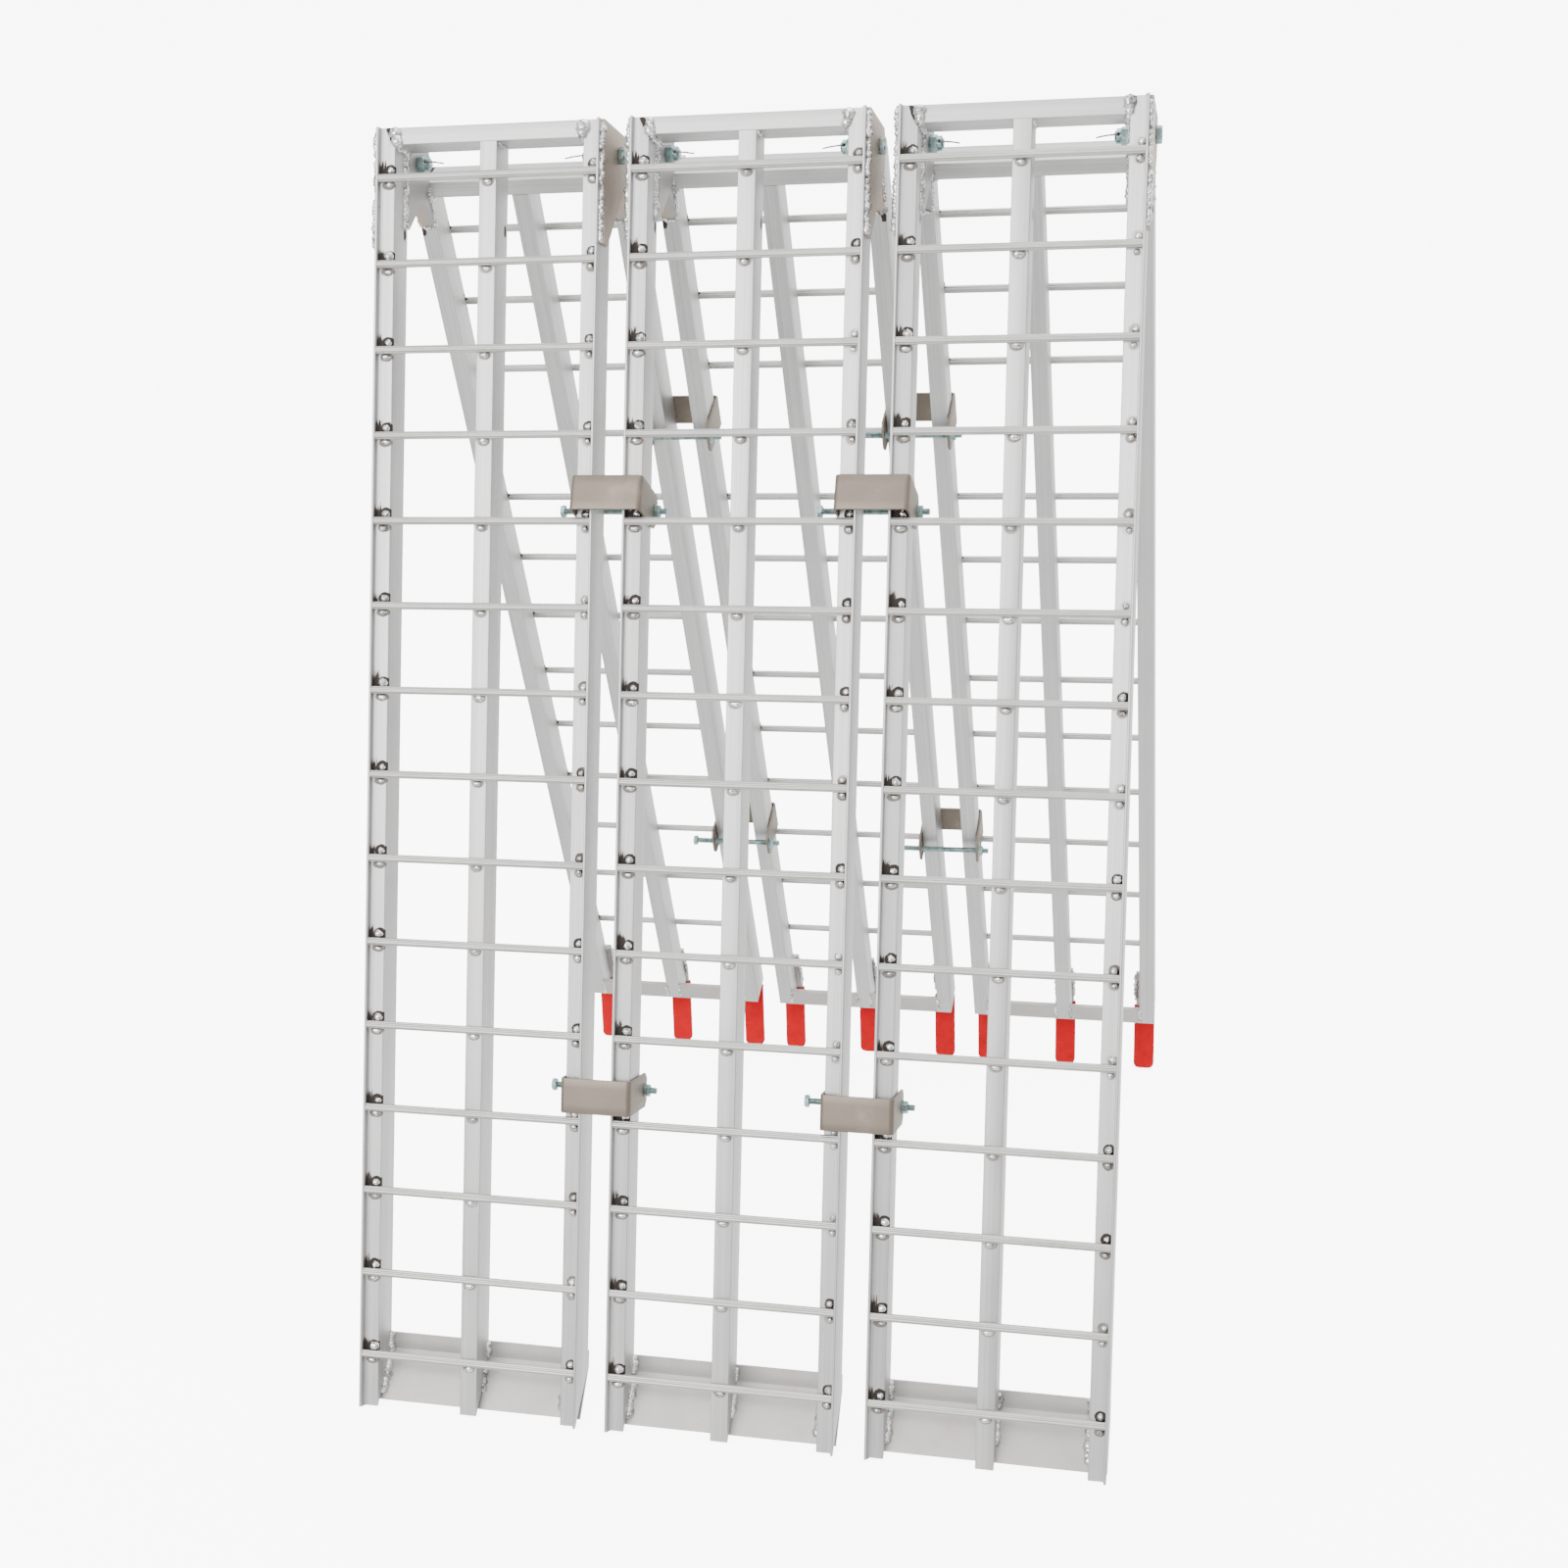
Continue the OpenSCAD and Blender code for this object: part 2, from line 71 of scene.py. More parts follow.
# The view: the ramp seen from a little above its hinge line, turned to its left side.
# The camera stands at a fixed distance from the hinge line, in metres.
fold = frame["joints"][0]
hinge = np.array(fold["pos_m"])
camera_offset = Vector((0.570, -2.685, 0.129))
camera_turn, camera_tilt, camera_roll = 15.26, 71.30, -3.02
camera_data = bpy.data.cameras.new("camera")
camera_data.lens = 52.36
camera_data.sensor_width = 36.0
camera_data.shift_x = 0.0797
camera_data.shift_y = 0.0171
camera = bpy.data.objects.new("camera", camera_data)
bpy.context.scene.collection.objects.link(camera)
camera.matrix_world = (
    Matrix.Translation(Vector(hinge) + camera_offset)
    @ Matrix.Rotation(math.radians(camera_turn), 4, "Z")
    @ Matrix.Rotation(math.radians(camera_tilt), 4, "X")
    @ Matrix.Rotation(math.radians(camera_roll), 4, "Z")
)
bpy.context.scene.camera = camera

# The studio: a pale room, brighter behind the ramp, with a dimmer band at eye level before the
# treads and two dark flags at the sides, which the bright metal mirrors. One broad soft light
# stands before the treads, and one hangs overhead.
class Link:
    """A socket of a material's node tree. Arithmetic on it adds the Math nodes."""

    def __init__(self, tree, socket):
        self.tree = tree
        self.socket = socket

    def node(self, kind, settings=None, inputs=None, output=0):
        """Adds a node of a kind, makes its settings, then fills its inputs by name or number."""
        new = self.tree.nodes.new(kind)
        for name, value in (settings or {}).items():
            if name == "stops":
                ramp = new.color_ramp
                for place, colour in value[:-2]:
                    ramp.elements.new(place)
                for element, (place, colour) in zip(ramp.elements, value):
                    element.position = place
                    element.color = colour
            else:
                setattr(new, name, value)
        for name, value in (inputs or {}).items():
            if isinstance(value, Link):
                self.tree.links.new(value.socket, new.inputs[name])
            else:
                new.inputs[name].default_value = value
        return Link(self.tree, new.outputs[output])

    def math(self, operation, *values):
        """A Math node on this value and the given ones."""
        numbers = dict(enumerate((self, *values)))
        return self.node("ShaderNodeMath", {"operation": operation}, numbers)

    def swapped(self, operation, first):
        """A Math node with this value second."""
        return self.node("ShaderNodeMath", {"operation": operation}, {0: first, 1: self})

    def __add__(self, other):
        return self.math("ADD", other)

    def __radd__(self, other):
        return self.math("ADD", other)

    def __sub__(self, other):
        return self.math("SUBTRACT", other)

    def __rsub__(self, other):
        return self.swapped("SUBTRACT", other)

    def __mul__(self, other):
        return self.math("MULTIPLY", other)

    def __rmul__(self, other):
        return self.math("MULTIPLY", other)

    def __truediv__(self, other):
        return self.math("DIVIDE", other)

    def __abs__(self):
        return self.math("ABSOLUTE")

    def band(self, low, high):
        """Rises smoothly from 0 at low to 1 at high, or falls where low is the larger."""
        start, end = min(low, high), max(low, high)
        step = self.node(
            "ShaderNodeMapRange", {"interpolation_type": "SMOOTHSTEP"},
            {"Value": self, "From Min": start, "From Max": end},
        )
        return step if low < high else 1 - step

    def noise(self, scale, detail=3.0, roughness=0.55, distortion=0.0):
        """Noise over this vector."""
        return self.node(
            "ShaderNodeTexNoise", {},
            {"Vector": self, "Scale": scale, "Detail": detail,
             "Roughness": roughness, "Distortion": distortion},
        )

    def stretched(self, x, y, z):
        """This vector with each part multiplied."""
        return self.node("ShaderNodeVectorMath", {"operation": "MULTIPLY"}, {0: self, 1: (x, y, z)})

    def ramp(self, low, dark, high, pale):
        """A colour that goes from dark, where this value is low, to pale, where it is high."""
        stops = [(low, (*dark, 1)), (high, (*pale, 1))]
        return self.node("ShaderNodeValToRGB", {"stops": stops}, {"Fac": self})

    def blend(self, first, second):
        """A colour from first, where this value is 0, to second, where it is 1."""
        ends = {"Factor": self, 6: first, 7: (*second, 1.0)}
        return self.node("ShaderNodeMix", {"data_type": "RGBA"}, ends, 2)

    def tinted(self, factor, colour):
        """This colour moved towards another by a factor from 0 to 1."""
        return factor.blend(self, colour)


def new_material(name, **sockets):
    """A Principled material with these constants; gives it, its shader and its Object coordinates."""
    material = bpy.data.materials.new(name)
    material.use_nodes = True
    tree = material.node_tree
    shader = tree.nodes["Principled BSDF"]
    for socket, value in sockets.items():
        shader.inputs[socket.replace("_", " ")].default_value = value
    place = tree.nodes.new("ShaderNodeTexCoord")
    return material, shader, Link(tree, place.outputs["Object"])


def connect(shader, **sockets):
    """Feeds the shader's sockets from links."""
    for socket, link in sockets.items():
        link.tree.links.new(link.socket, shader.inputs[socket.replace("_", " ")])


def bump(height, strength, distance):
    """A bump from a height link."""
    return height.node("ShaderNodeBump", {}, {"Strength": strength, "Distance": distance, "Height": height})


world = bpy.data.worlds.new("studio")
bpy.context.scene.world = world
world.use_nodes = True
room = world.node_tree
room_sight = Link(room, room.nodes.new("ShaderNodeTexCoord").outputs["Generated"])
room_side, room_depth, room_height = (
    room_sight.node("ShaderNodeSeparateXYZ", {}, {"Vector": room_sight}, part) for part in range(3))
room_band = abs(room_height + 0.03).band(0.38, 0.12) * room_depth.band(0.3, -0.4)
room_flags = abs(abs(room_side) - 0.55).band(0.08, 0.04)
room_shade = 1 - (1 - room_band * 0.62) * (1 - room_flags * 0.75)
room_tone = room_shade.blend((1.0, 1.0, 1.0, 1.0), (0.05, 0.05, 0.05))
room.links.new(room_tone.socket, room.nodes["Background"].inputs["Color"])
room_strength = 1.8 + room_depth.band(0.1, 0.7) * 0.8
room.links.new(room_strength.socket, room.nodes["Background"].inputs["Strength"])
for name, place, size, power in (
    ("front_light", (-1.6, -4.2, 2.6), 3.4, 230.0),
    ("top_light", (0.8, 0.4, 4.6), 3.0, 90.0),
):
    light_data = bpy.data.lights.new(name, "AREA")
    light_data.size = size
    light_data.energy = power
    light = bpy.data.objects.new(name, light_data)
    light.location = place
    light.rotation_euler = (Vector((0.0, 0.0, 0.7)) - light.location).to_track_quat("-Z", "Y").to_euler()
    bpy.context.scene.collection.objects.link(light)

# The floor: a wide sheet of glowing white studio paper that curves up far away on every side.
# It lies just under the feet. Only the camera sees its glow, so that it does not wash out the metal.
def whole_turn(columns):
    """Equal turns round a circle, from zero up."""
    return np.linspace(0, 2 * np.pi, columns, endpoint=False)


def ring_faces(rows, columns):
    """Quads between neighbouring closed rings of points, row after row."""
    row, column = np.meshgrid(np.arange(rows - 1), np.arange(columns), indexing="ij")
    a = row * columns + column
    b = row * columns + (column + 1) % columns
    return np.stack([a, b, b + columns, a + columns], axis=-1).reshape(-1, 4)


floor_flat, floor_bend, floor_drop = 9.0, 14.0, 0.0004
floor_turns, floor_rise = 96, np.linspace(0, math.radians(75), 24)
floor_r = np.concatenate([[0.001, 3.0], floor_flat + floor_bend * np.sin(floor_rise)])
floor_z = np.concatenate([[0, 0], floor_bend * (1 - np.cos(floor_rise))]) - floor_drop
floor_turn = whole_turn(floor_turns)
floor_points = np.stack([np.outer(floor_r, np.cos(floor_turn)), np.outer(floor_r, np.sin(floor_turn)),
                         np.repeat(floor_z[:, None], floor_turns, axis=1)], axis=-1).reshape(-1, 3)
floor_mesh = bpy.data.meshes.new("floor")
floor_mesh.from_pydata(floor_points.tolist(), [], ring_faces(len(floor_r), floor_turns)[:, ::-1].tolist())
floor_mesh.polygons.foreach_set("use_smooth", np.ones(len(floor_mesh.polygons), dtype=bool))
floor = bpy.data.objects.new("floor", floor_mesh)
bpy.context.scene.collection.objects.link(floor)
floor.visible_glossy = False
floor.visible_diffuse = False
floor.visible_shadow = False
floor_paper, floor_shader, floor_place = new_material(
    "floor_paper", Roughness=0.85, Emission_Color=(1.0, 1.0, 1.0, 1.0), Emission_Strength=7.0)
floor_cloud = floor_place.noise(1.4, 2.0)
connect(floor_shader, Base_Color=floor_cloud.blend((0.93, 0.93, 0.92, 1.0), (0.95, 0.95, 0.945)))
floor_mesh.materials.append(floor_paper)

# The rails: hollow aluminium extrusions, two with an outer lip and a plain one between, sawn
# square at the hinge end and, on the front, on a slant at the foot. Pieces are laid out along a
# half from the hinge line, x across, y down from the treads and z up, and then leaned.
section_w, section_gap = 0.272, 0.036
section_step = section_w + section_gap
rail_w, rail_d, rail_wall = 0.021, 0.044, 0.002
lip_t, lip_h = 0.003, 0.009
under = -0.0235
face = under - rail_d
front_top, front_foot = 0.027, 0.027 - 1.524
rear_top, rear_end = -0.036, -0.036 - 1.410
rail_top = {"front": front_top, "rear": rear_top}
foot_cut, foot_toe = 0.060, 0.008
edge_round, arc_steps = 0.0009, 4
beam_h = 0.020
rear_tips = next(m for m in frame["record"]["mounts"] if m["name"] == "middle_tips")
finger_bend = math.radians(24)
rear_lean = math.atan2(-rear_tips["axis"][2], -rear_tips["axis"][1]) + finger_bend
front_lean = -math.radians(fold["range_deg"][0]) - rear_lean
sections = {"left": -section_step, "middle": 0.0, "right": section_step}
rail_names = ("left_rail", "center_rail", "right_rail")


def leaned(points, half):
    """Leaf places to world places: y mirrored on the rear half, then turned about the hinge line.
    A turn by t takes (y, z) to (y cos t - z sin t, y sin t + z cos t)."""
    points = np.asarray(points, dtype=float)
    turn = -front_lean if half == "front" else rear_lean
    y = points[..., 1] * (1.0 if half == "front" else -1.0)
    z = points[..., 2]
    return np.stack([
        points[..., 0] + hinge[0],
        y * math.cos(turn) - z * math.sin(turn) + hinge[1],
        y * math.sin(turn) + z * math.cos(turn) + hinge[2],
    ], axis=-1)


def make_piece(name, points, faces, half, material, sharp=35.0):
    """A mesh piece laid out on a half, riding on it, smooth except at corners over sharp degrees.
    Each entry of faces is an array of faces with the same number of corners."""
    mesh = bpy.data.meshes.new(name)
    corners = [row for block in faces for row in np.asarray(block).tolist()]
    if half == "rear":
        corners = [row[::-1] for row in corners]
    mesh.from_pydata(leaned(points, half).reshape(-1, 3).tolist(), [], corners)
    mesh.polygons.foreach_set("use_smooth", np.ones(len(mesh.polygons), dtype=bool))
    mesh.set_sharp_from_angle(angle=math.radians(sharp))
    mesh.materials.append(material)
    piece = bpy.data.objects.new(name, mesh)
    bpy.context.scene.collection.objects.link(piece)
    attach(piece, half + "_half")
    return piece


def rounded_outline(corners, radii, steps):
    """A closed outline with each corner rounded. The arc's centre lies on the corner's bisector,
    and its points are the centre plus the radius times the blend of the two end directions."""
    corners = np.asarray(corners, dtype=float)
    radii = np.broadcast_to(np.asarray(radii, dtype=float), len(corners))[:, None]
    before = np.roll(corners, 1, axis=0) - corners
    after = np.roll(corners, -1, axis=0) - corners
    before /= np.linalg.norm(before, axis=1, keepdims=True)
    after /= np.linalg.norm(after, axis=1, keepdims=True)
    half_angle = np.arccos(np.clip((before * after).sum(axis=1, keepdims=True), -1, 1)) / 2
    bisector = before + after
    bisector /= np.linalg.norm(bisector, axis=1, keepdims=True)
    centre = corners + bisector * radii / np.sin(half_angle)
    start = corners + before * radii / np.tan(half_angle) - centre
    end = corners + after * radii / np.tan(half_angle) - centre
    blend = np.linspace(0.0, 1.0, steps)[None, :, None]
    arc = start[:, None] * (1 - blend) + end[:, None] * blend
    arc *= radii[:, None] / np.linalg.norm(arc, axis=2, keepdims=True)
    return (centre[:, None] + arc).reshape(-1, 2)


def rail_shape(lipped, top, foot, slanted):
    """A rail as two closed outlines, outside and bore, carried from its foot to its top.
    On a slanted foot an outline point at depth y ends higher by its share of the foot cut."""
    outer = [(0, face), (rail_w, face), (rail_w, under), (0, under)]
    inner = [(rail_wall, face + rail_wall), (rail_w - rail_wall, face + rail_wall),
             (rail_w - rail_wall, under - rail_wall), (rail_wall, under - rail_wall)]
    if lipped:
        # Two spare corners along the bore's tread wall pair with the lip's corners, and one of
        # them stands out by a hair so that each of them turns
        outer = [(0, face - lip_h), (lip_t, face - lip_h), (lip_t, face)] + outer[1:]
        spare = ((0, 0), (0.1, 0.00002), (0.2, 0))
        inner = [(rail_wall + share * rail_w, face + rail_wall - out) for share, out in spare] + inner[1:]
    outline = rounded_outline(outer, edge_round, arc_steps)
    bore = rounded_outline(inner, edge_round, arc_steps)
    toe = face + foot_toe
    rings = []
    for loop in (outline, bore):
        lift = np.clip((loop[:, 1] - toe) / (under - toe), 0, None) * foot_cut * slanted
        rings.append(np.column_stack([loop, foot + lift]))
        rings.append(np.column_stack([loop, np.full(len(loop), top)]))
    count = len(outline)
    # outside foot, outside top, bore top, bore foot, and back to the outside foot
    points = np.concatenate([rings[0], rings[1], rings[3], rings[2], rings[0]])
    faces = ring_faces(5, count)
    faces = np.where(faces >= 4 * count, faces - 4 * count, faces)
    return points[:4 * count], faces


def leaf_place(place, half):
    """Object coordinates turned back to a half's own layout, as separate x, y and z links."""
    turn = -front_lean if half == "front" else rear_lean
    level = place.node(
        "ShaderNodeMapping", {"vector_type": "TEXTURE"},
        {"Vector": place, "Location": tuple(hinge), "Rotation": (turn, 0.0, 0.0)},
    )
    if half == "rear":
        level = level.stretched(1, -1, 1)
    x, y, z = (level.node("ShaderNodeSeparateXYZ", {}, {"Vector": level}, part) for part in range(3))
    return level, x, y, z


rung_pitch = 0.100
first_rung = {"front": 0.032, "rear": 0.123}
rung_count = {"front": 15, "rear": 13}
# Beads on the tread face at a rung's left and right end: distance in from the lip, height above
# the rung, half width and half height
end_beads = {
    "left": ((0.0125, 0.0085, 0.0056, 0.0052), (0.0105, -0.0080, 0.0058, 0.0036)),
    "right": ((0.0052, 0.0082, 0.0050, 0.0048), (0.0060, -0.0084, 0.0046, 0.0042)),
}


def round_spot(first, second, centre, radii):
    """Distance from a spot's centre over its radius: the root of the sum of both squares."""
    a = (first - centre[0]) / radii[0]
    b = (second - centre[1]) / radii[1]
    return (a * a + b * b).math("SQRT")


def section_places(x, z, half):
    """Sideways place within a section, from its middle, and the height above the nearest rung."""
    across = (x + 1.5 * section_step).math("MODULO", section_step) - section_step / 2
    along = (z * -1 - first_rung[half]) / rung_pitch
    up = (0.5 - (along + 0.5).math("FRACT")) * rung_pitch
    on_rungs = (along - (rung_count[half] - 0.5)).math("LESS_THAN", 0.0)
    return across, up, on_rungs


def soot_at_rungs(level, x, y, z, half):
    """How dark the weld soot is on the tread side. At a left rung end it is a black patch in the
    corner of the lip, reaching up the rail in streaks. Each bead has a dark outline, and a right
    end has a dark line along the lip. Each rung has its own share of it."""
    across, up, on_rungs = section_places(x, z, half)
    inward = section_w / 2 - lip_t - abs(across)
    left = across.math("LESS_THAN", 0.0)
    streaks = level.stretched(900.0, 900.0, 45.0).noise(1.0, 3.0, 0.7)
    patches = level.noise(240.0, 3.0, 0.6)
    which = level.stretched(5.0, 0.0, 9.0).noise(1.0, 1.0)
    on_face = inward.band(-0.0010, -0.0005)
    tall = 0.0065 + (streaks - 0.5) * 0.034 + which * 0.020
    wide = 0.0062 + (patches - 0.5) * 0.007 + (which - 0.5) * 0.010
    patch = (up - tall).band(0.003, -0.003) * (inward - wide).band(0.0016, -0.0016)
    dark = patch * (up + 0.001).band(0.0, 0.003) * left * on_face
    line = (inward - 0.0003).band(0.0016, 0.0006) * abs(up).band(0.011, 0.007)
    dark = dark.math("MAXIMUM", line * (1 - left) * on_face * which.band(0.35, 0.5))
    for side, here in (("left", left), ("right", 1 - left)):
        for centre_in, centre_up, wide_r, tall_r in end_beads[side]:
            ring = round_spot(inward, up, (centre_in, centre_up), (wide_r * 1.16, tall_r * 1.2))
            ring = (ring + (patches - 0.5) * 0.5).band(1.32, 1.12)
            share = which.band(0.30, 0.62) if side == "right" else 0.9
            dark = dark.math("MAXIMUM", ring * here * share * (0.6 if centre_up < 0 else 1.0))
    centre = round_spot(across, up, (0.0, -0.0074), (0.0068, 0.0050)).band(1.25, 1.05) * 0.4
    dark = dark.math("MAXIMUM", centre)
    return dark * on_rungs * abs(y - face).band(0.0060, 0.0035)


def soot_at_corners(level, x, y, z, half):
    """Brown and black soot beside the welds at the hinge end: one patch slants down the rail's
    inner corner at the end beam, and one lies where the plate's or the arm's weld ends."""
    across = section_places(x, z, half)[0]
    inward = section_w / 2 - rail_w - abs(across)
    patches = level.noise(170.0, 4.0, 0.65)
    beam_end = rail_top[half] - 0.012
    slant = round_spot(inward + (z - beam_end) * 0.45, z, (-0.0035, beam_end), (0.0042, 0.0150))
    slant = slant * (1 + (patches - 0.5) * 1.1) + abs(y - face) * 260 + across.band(-0.01, 0.01) * 0.5
    if half == "front":
        spot = round_spot(y, z, (under - 0.009, -0.0905), (0.0042, 0.0075))
        spot = spot * (1 + (patches - 0.5) * 1.2) + (inward * -1).math("MAXIMUM", 0.0) * 90
    else:
        spot = round_spot(abs(across), z, (section_w / 2 - 0.002, -0.101), (0.0045, 0.0060))
        spot = spot * (1 + (patches - 0.5) * 1.2) + abs(y - under) * 120
    return slant.band(1.15, 0.70).math("MAXIMUM", spot.band(1.1, 0.7))


def extruded_aluminium(half, across=False):
    """Mill-finish extrusion: fine die lines along it, faint cloudy oxide, and weld soot."""
    material, shader, place = new_material("extruded_aluminium_" + half + "_beam" * across)
    level, x, y, z = leaf_place(place, half)
    fine, wide, scuff = ((3.0, 900.0), (1.2, 260.0), (14.0, 60.0))
    lines = [level.stretched(*((run, many, many) if across else (many, many, run)))
             for run, many in (fine, wide, scuff)]
    die_lines = lines[0].noise(1.0, 4.0, 0.7)
    wide_lines = lines[1].noise(1.0, 2.0, 0.5)
    scuffs = lines[2].noise(1.0, 6.0, 0.75, 1.5).band(0.60, 0.74)
    cloud = level.noise(9.0, 4.0, 0.6)
    soot = soot_at_rungs(level, x, y, z, half).math("MAXIMUM", soot_at_corners(level, x, y, z, half))
    silver = die_lines * 0.45 + wide_lines * 0.3 + cloud * 0.25
    silver = silver.ramp(0.32, (0.42, 0.42, 0.417), 0.68, (0.66, 0.66, 0.655))
    colour = silver.tinted(cloud.band(0.50, 0.78) * 0.45, (0.56, 0.53, 0.49))
    colour = colour.tinted(scuffs * 0.35, (0.34, 0.34, 0.335))
    colour = colour.tinted(soot.band(0.02, 0.5) * 0.65, (0.27, 0.20, 0.145))
    colour = colour.tinted(soot.band(0.3, 0.85) * 0.96, (0.020, 0.014, 0.011))
    rough = 0.36 + die_lines * 0.14 + cloud * 0.08 + soot * 0.3
    connect(shader, Base_Color=colour, Roughness=rough, Metallic=0.92 - soot * 0.6,
            Normal=bump(die_lines * 0.6 + wide_lines, 0.35, 0.0002))
    return material


aluminium = {half: extruded_aluminium(half) for half in ("front", "rear")}
for section, middle in sections.items():
    left = middle - section_w / 2
    for half, top, foot in (("front", front_top, front_foot), ("rear", rear_top, rear_end)):
        for rail in rail_names:
            lipped = rail != "center_rail"
            beam_room = 0.0 if lipped else beam_h
            points, faces = rail_shape(lipped, top - beam_room, foot, half == "front")
            if rail == "right_rail":
                points[:, 0] = section_w - points[:, 0]
                faces = faces[:, ::-1]
            points[:, 0] += left + (0.0 if lipped else (section_w - rail_w) / 2)
            node = f"{section}_{half}_{rail}"
            piece = make_piece(node + "_extrusion", points, [faces], half, aluminium[half])
            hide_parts(node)

# The end beams: short rectangular tubes welded between the side rails at the hinge end.
# The centre rail butts against their lower side.
beam_metal = {half: extruded_aluminium(half, True) for half in ("front", "rear")}


def beam_shape(top):
    """A tube across the half: an outline and a bore in y and z, carried from rail to rail."""
    outer = [(face, top), (under, top), (under, top - beam_h), (face, top - beam_h)]
    inset = np.array([(1, -1), (-1, -1), (-1, 1), (1, 1)]) * rail_wall
    loops = [rounded_outline(outer, edge_round, arc_steps),
             rounded_outline(np.array(outer) + inset, edge_round, arc_steps)]
    span = (rail_w, section_w - rail_w)
    rings = [np.insert(loop, 0, end, axis=1) for loop, end in zip(
        (loops[0], loops[0], loops[1], loops[1]), (span[0], span[1], span[1], span[0]))]
    count = len(loops[0])
    faces = ring_faces(5, count)
    return np.concatenate(rings), np.where(faces >= 4 * count, faces - 4 * count, faces)


for half, top in (("front", front_top), ("rear", rear_top)):
    beam_points, beam_faces = beam_shape(top)
    for section, middle in sections.items():
        node = f"{section}_{half}_end_beam"
        points = beam_points + np.array([middle - section_w / 2, 0, 0])
        piece = make_piece(node + "_tube", points, [beam_faces], half, beam_metal[half])
        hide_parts(node)

# The rungs: solid round aluminium bars with fine ribs along them for grip.
# Each one sits on the rail faces, with a shallow flat, and is welded to the lips at both ends.
rung_d, rung_seat = 0.0095, 0.0004
rib_count, rib_depth = 8, 0.0008
rung_columns = 60


def rung_shape():
    """A ribbed bar along x: its radius dips with the cosine of the turn times the rib count,
    and its lower side is cut flat on the rail faces."""
    turn = whole_turn(rung_columns)
    radius = rung_d / 2 - rib_depth * (0.5 + 0.5 * np.cos(rib_count * turn)) ** 2
    depth = np.minimum(face - rung_d / 2 + rung_seat + radius * np.cos(turn), face)
    across = np.linspace(lip_t, section_w - lip_t, 2)[:, None] + np.zeros(rung_columns)
    points = np.stack([across, np.broadcast_to(depth, across.shape),
                       np.broadcast_to(radius * np.sin(turn), across.shape)], axis=-1).reshape(-1, 3)
    caps = np.stack([np.arange(rung_columns)[::-1], np.arange(rung_columns) + rung_columns])
    return points, ring_faces(2, rung_columns), caps


def copies(points, faces, shifts):
    """The same shape at several places: points plus each shift, faces plus each copy's start."""
    shifts = np.asarray(shifts, dtype=float)
    many = (shifts[:, None] + points[None]).reshape(-1, 3)
    starts = np.arange(len(shifts)) * len(points)
    return many, [(starts[:, None, None] + block[None]).reshape(-1, block.shape[1]) for block in faces]


def rung_drops(half):
    """Height of each rung along the half, from the hinge line down."""
    return -first_rung[half] - rung_pitch * np.arange(rung_count[half])


def ribbed_bar(half):
    """Drawn bar: bright rib tops, grey grooves, a few rubbed streaks and soot at the ends."""
    material, shader, place = new_material("ribbed_bar_" + half, Metallic=0.92)
    level, x, y, z = leaf_place(place, half)
    streaks = level.stretched(4.0, 500.0, 500.0).noise(1.0, 4.0, 0.7)
    cloud = level.noise(14.0, 4.0, 0.6)
    soot = soot_at_rungs(level, x, y, z, half)
    silver = streaks * 0.6 + cloud * 0.4
    silver = silver.ramp(0.3, (0.38, 0.375, 0.36), 0.7, (0.60, 0.595, 0.575))
    colour = silver.tinted(soot.band(0.02, 0.6) * 0.7, (0.27, 0.20, 0.145))
    colour = colour.tinted(soot.band(0.5, 0.95) * 0.9, (0.025, 0.02, 0.017))
    connect(shader, Base_Color=colour, Roughness=0.34 + streaks * 0.2 + soot * 0.25,
            Metallic=0.92 - soot * 0.5, Normal=bump(streaks, 0.25, 0.0002))
    return material


bar_points, bar_sides, bar_caps = rung_shape()
for half in ("front", "rear"):
    bar = ribbed_bar(half)
    drops = rung_drops(half)
    for section, middle in sections.items():
        shifts = np.column_stack([np.full(len(drops), middle - section_w / 2), np.zeros(len(drops)), drops])
        points, faces = copies(bar_points, [bar_sides, bar_caps], shifts)
        node = f"{section}_{half}_rungs"
        piece = make_piece(node + "_ribbed", points, faces, half, bar, 60.0)
        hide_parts(node)

# The weld beads: aluminium filler laid by hand, shiny and rippled, with soot beside it.
# Two round beads hold each rung end against its lip, and one holds it on the centre rail. Long
# beads run down the corners at the hinge end, the foot plate, the tip bar and the fingers.
bead_rows, bead_columns = 7, 9
bead_blunt, bead_ripple = 2.2, 0.11
weld_seed = np.random.default_rng(7)
finger_w, finger_seat, tip_bar_h = 0.0255, 0.062, 0.028


def end_fans(rows, columns, start, end):
    """Triangles that close a tube of rings: from the first ring to one point and the last to another."""
    edge = np.arange(columns)
    turned = (edge + 1) % columns
    last = (rows - 1) * columns
    return np.concatenate([
        np.stack([turned, edge, np.full(columns, start)], axis=1),
        np.stack([last + edge, last + turned, np.full(columns, end)], axis=1),
    ])


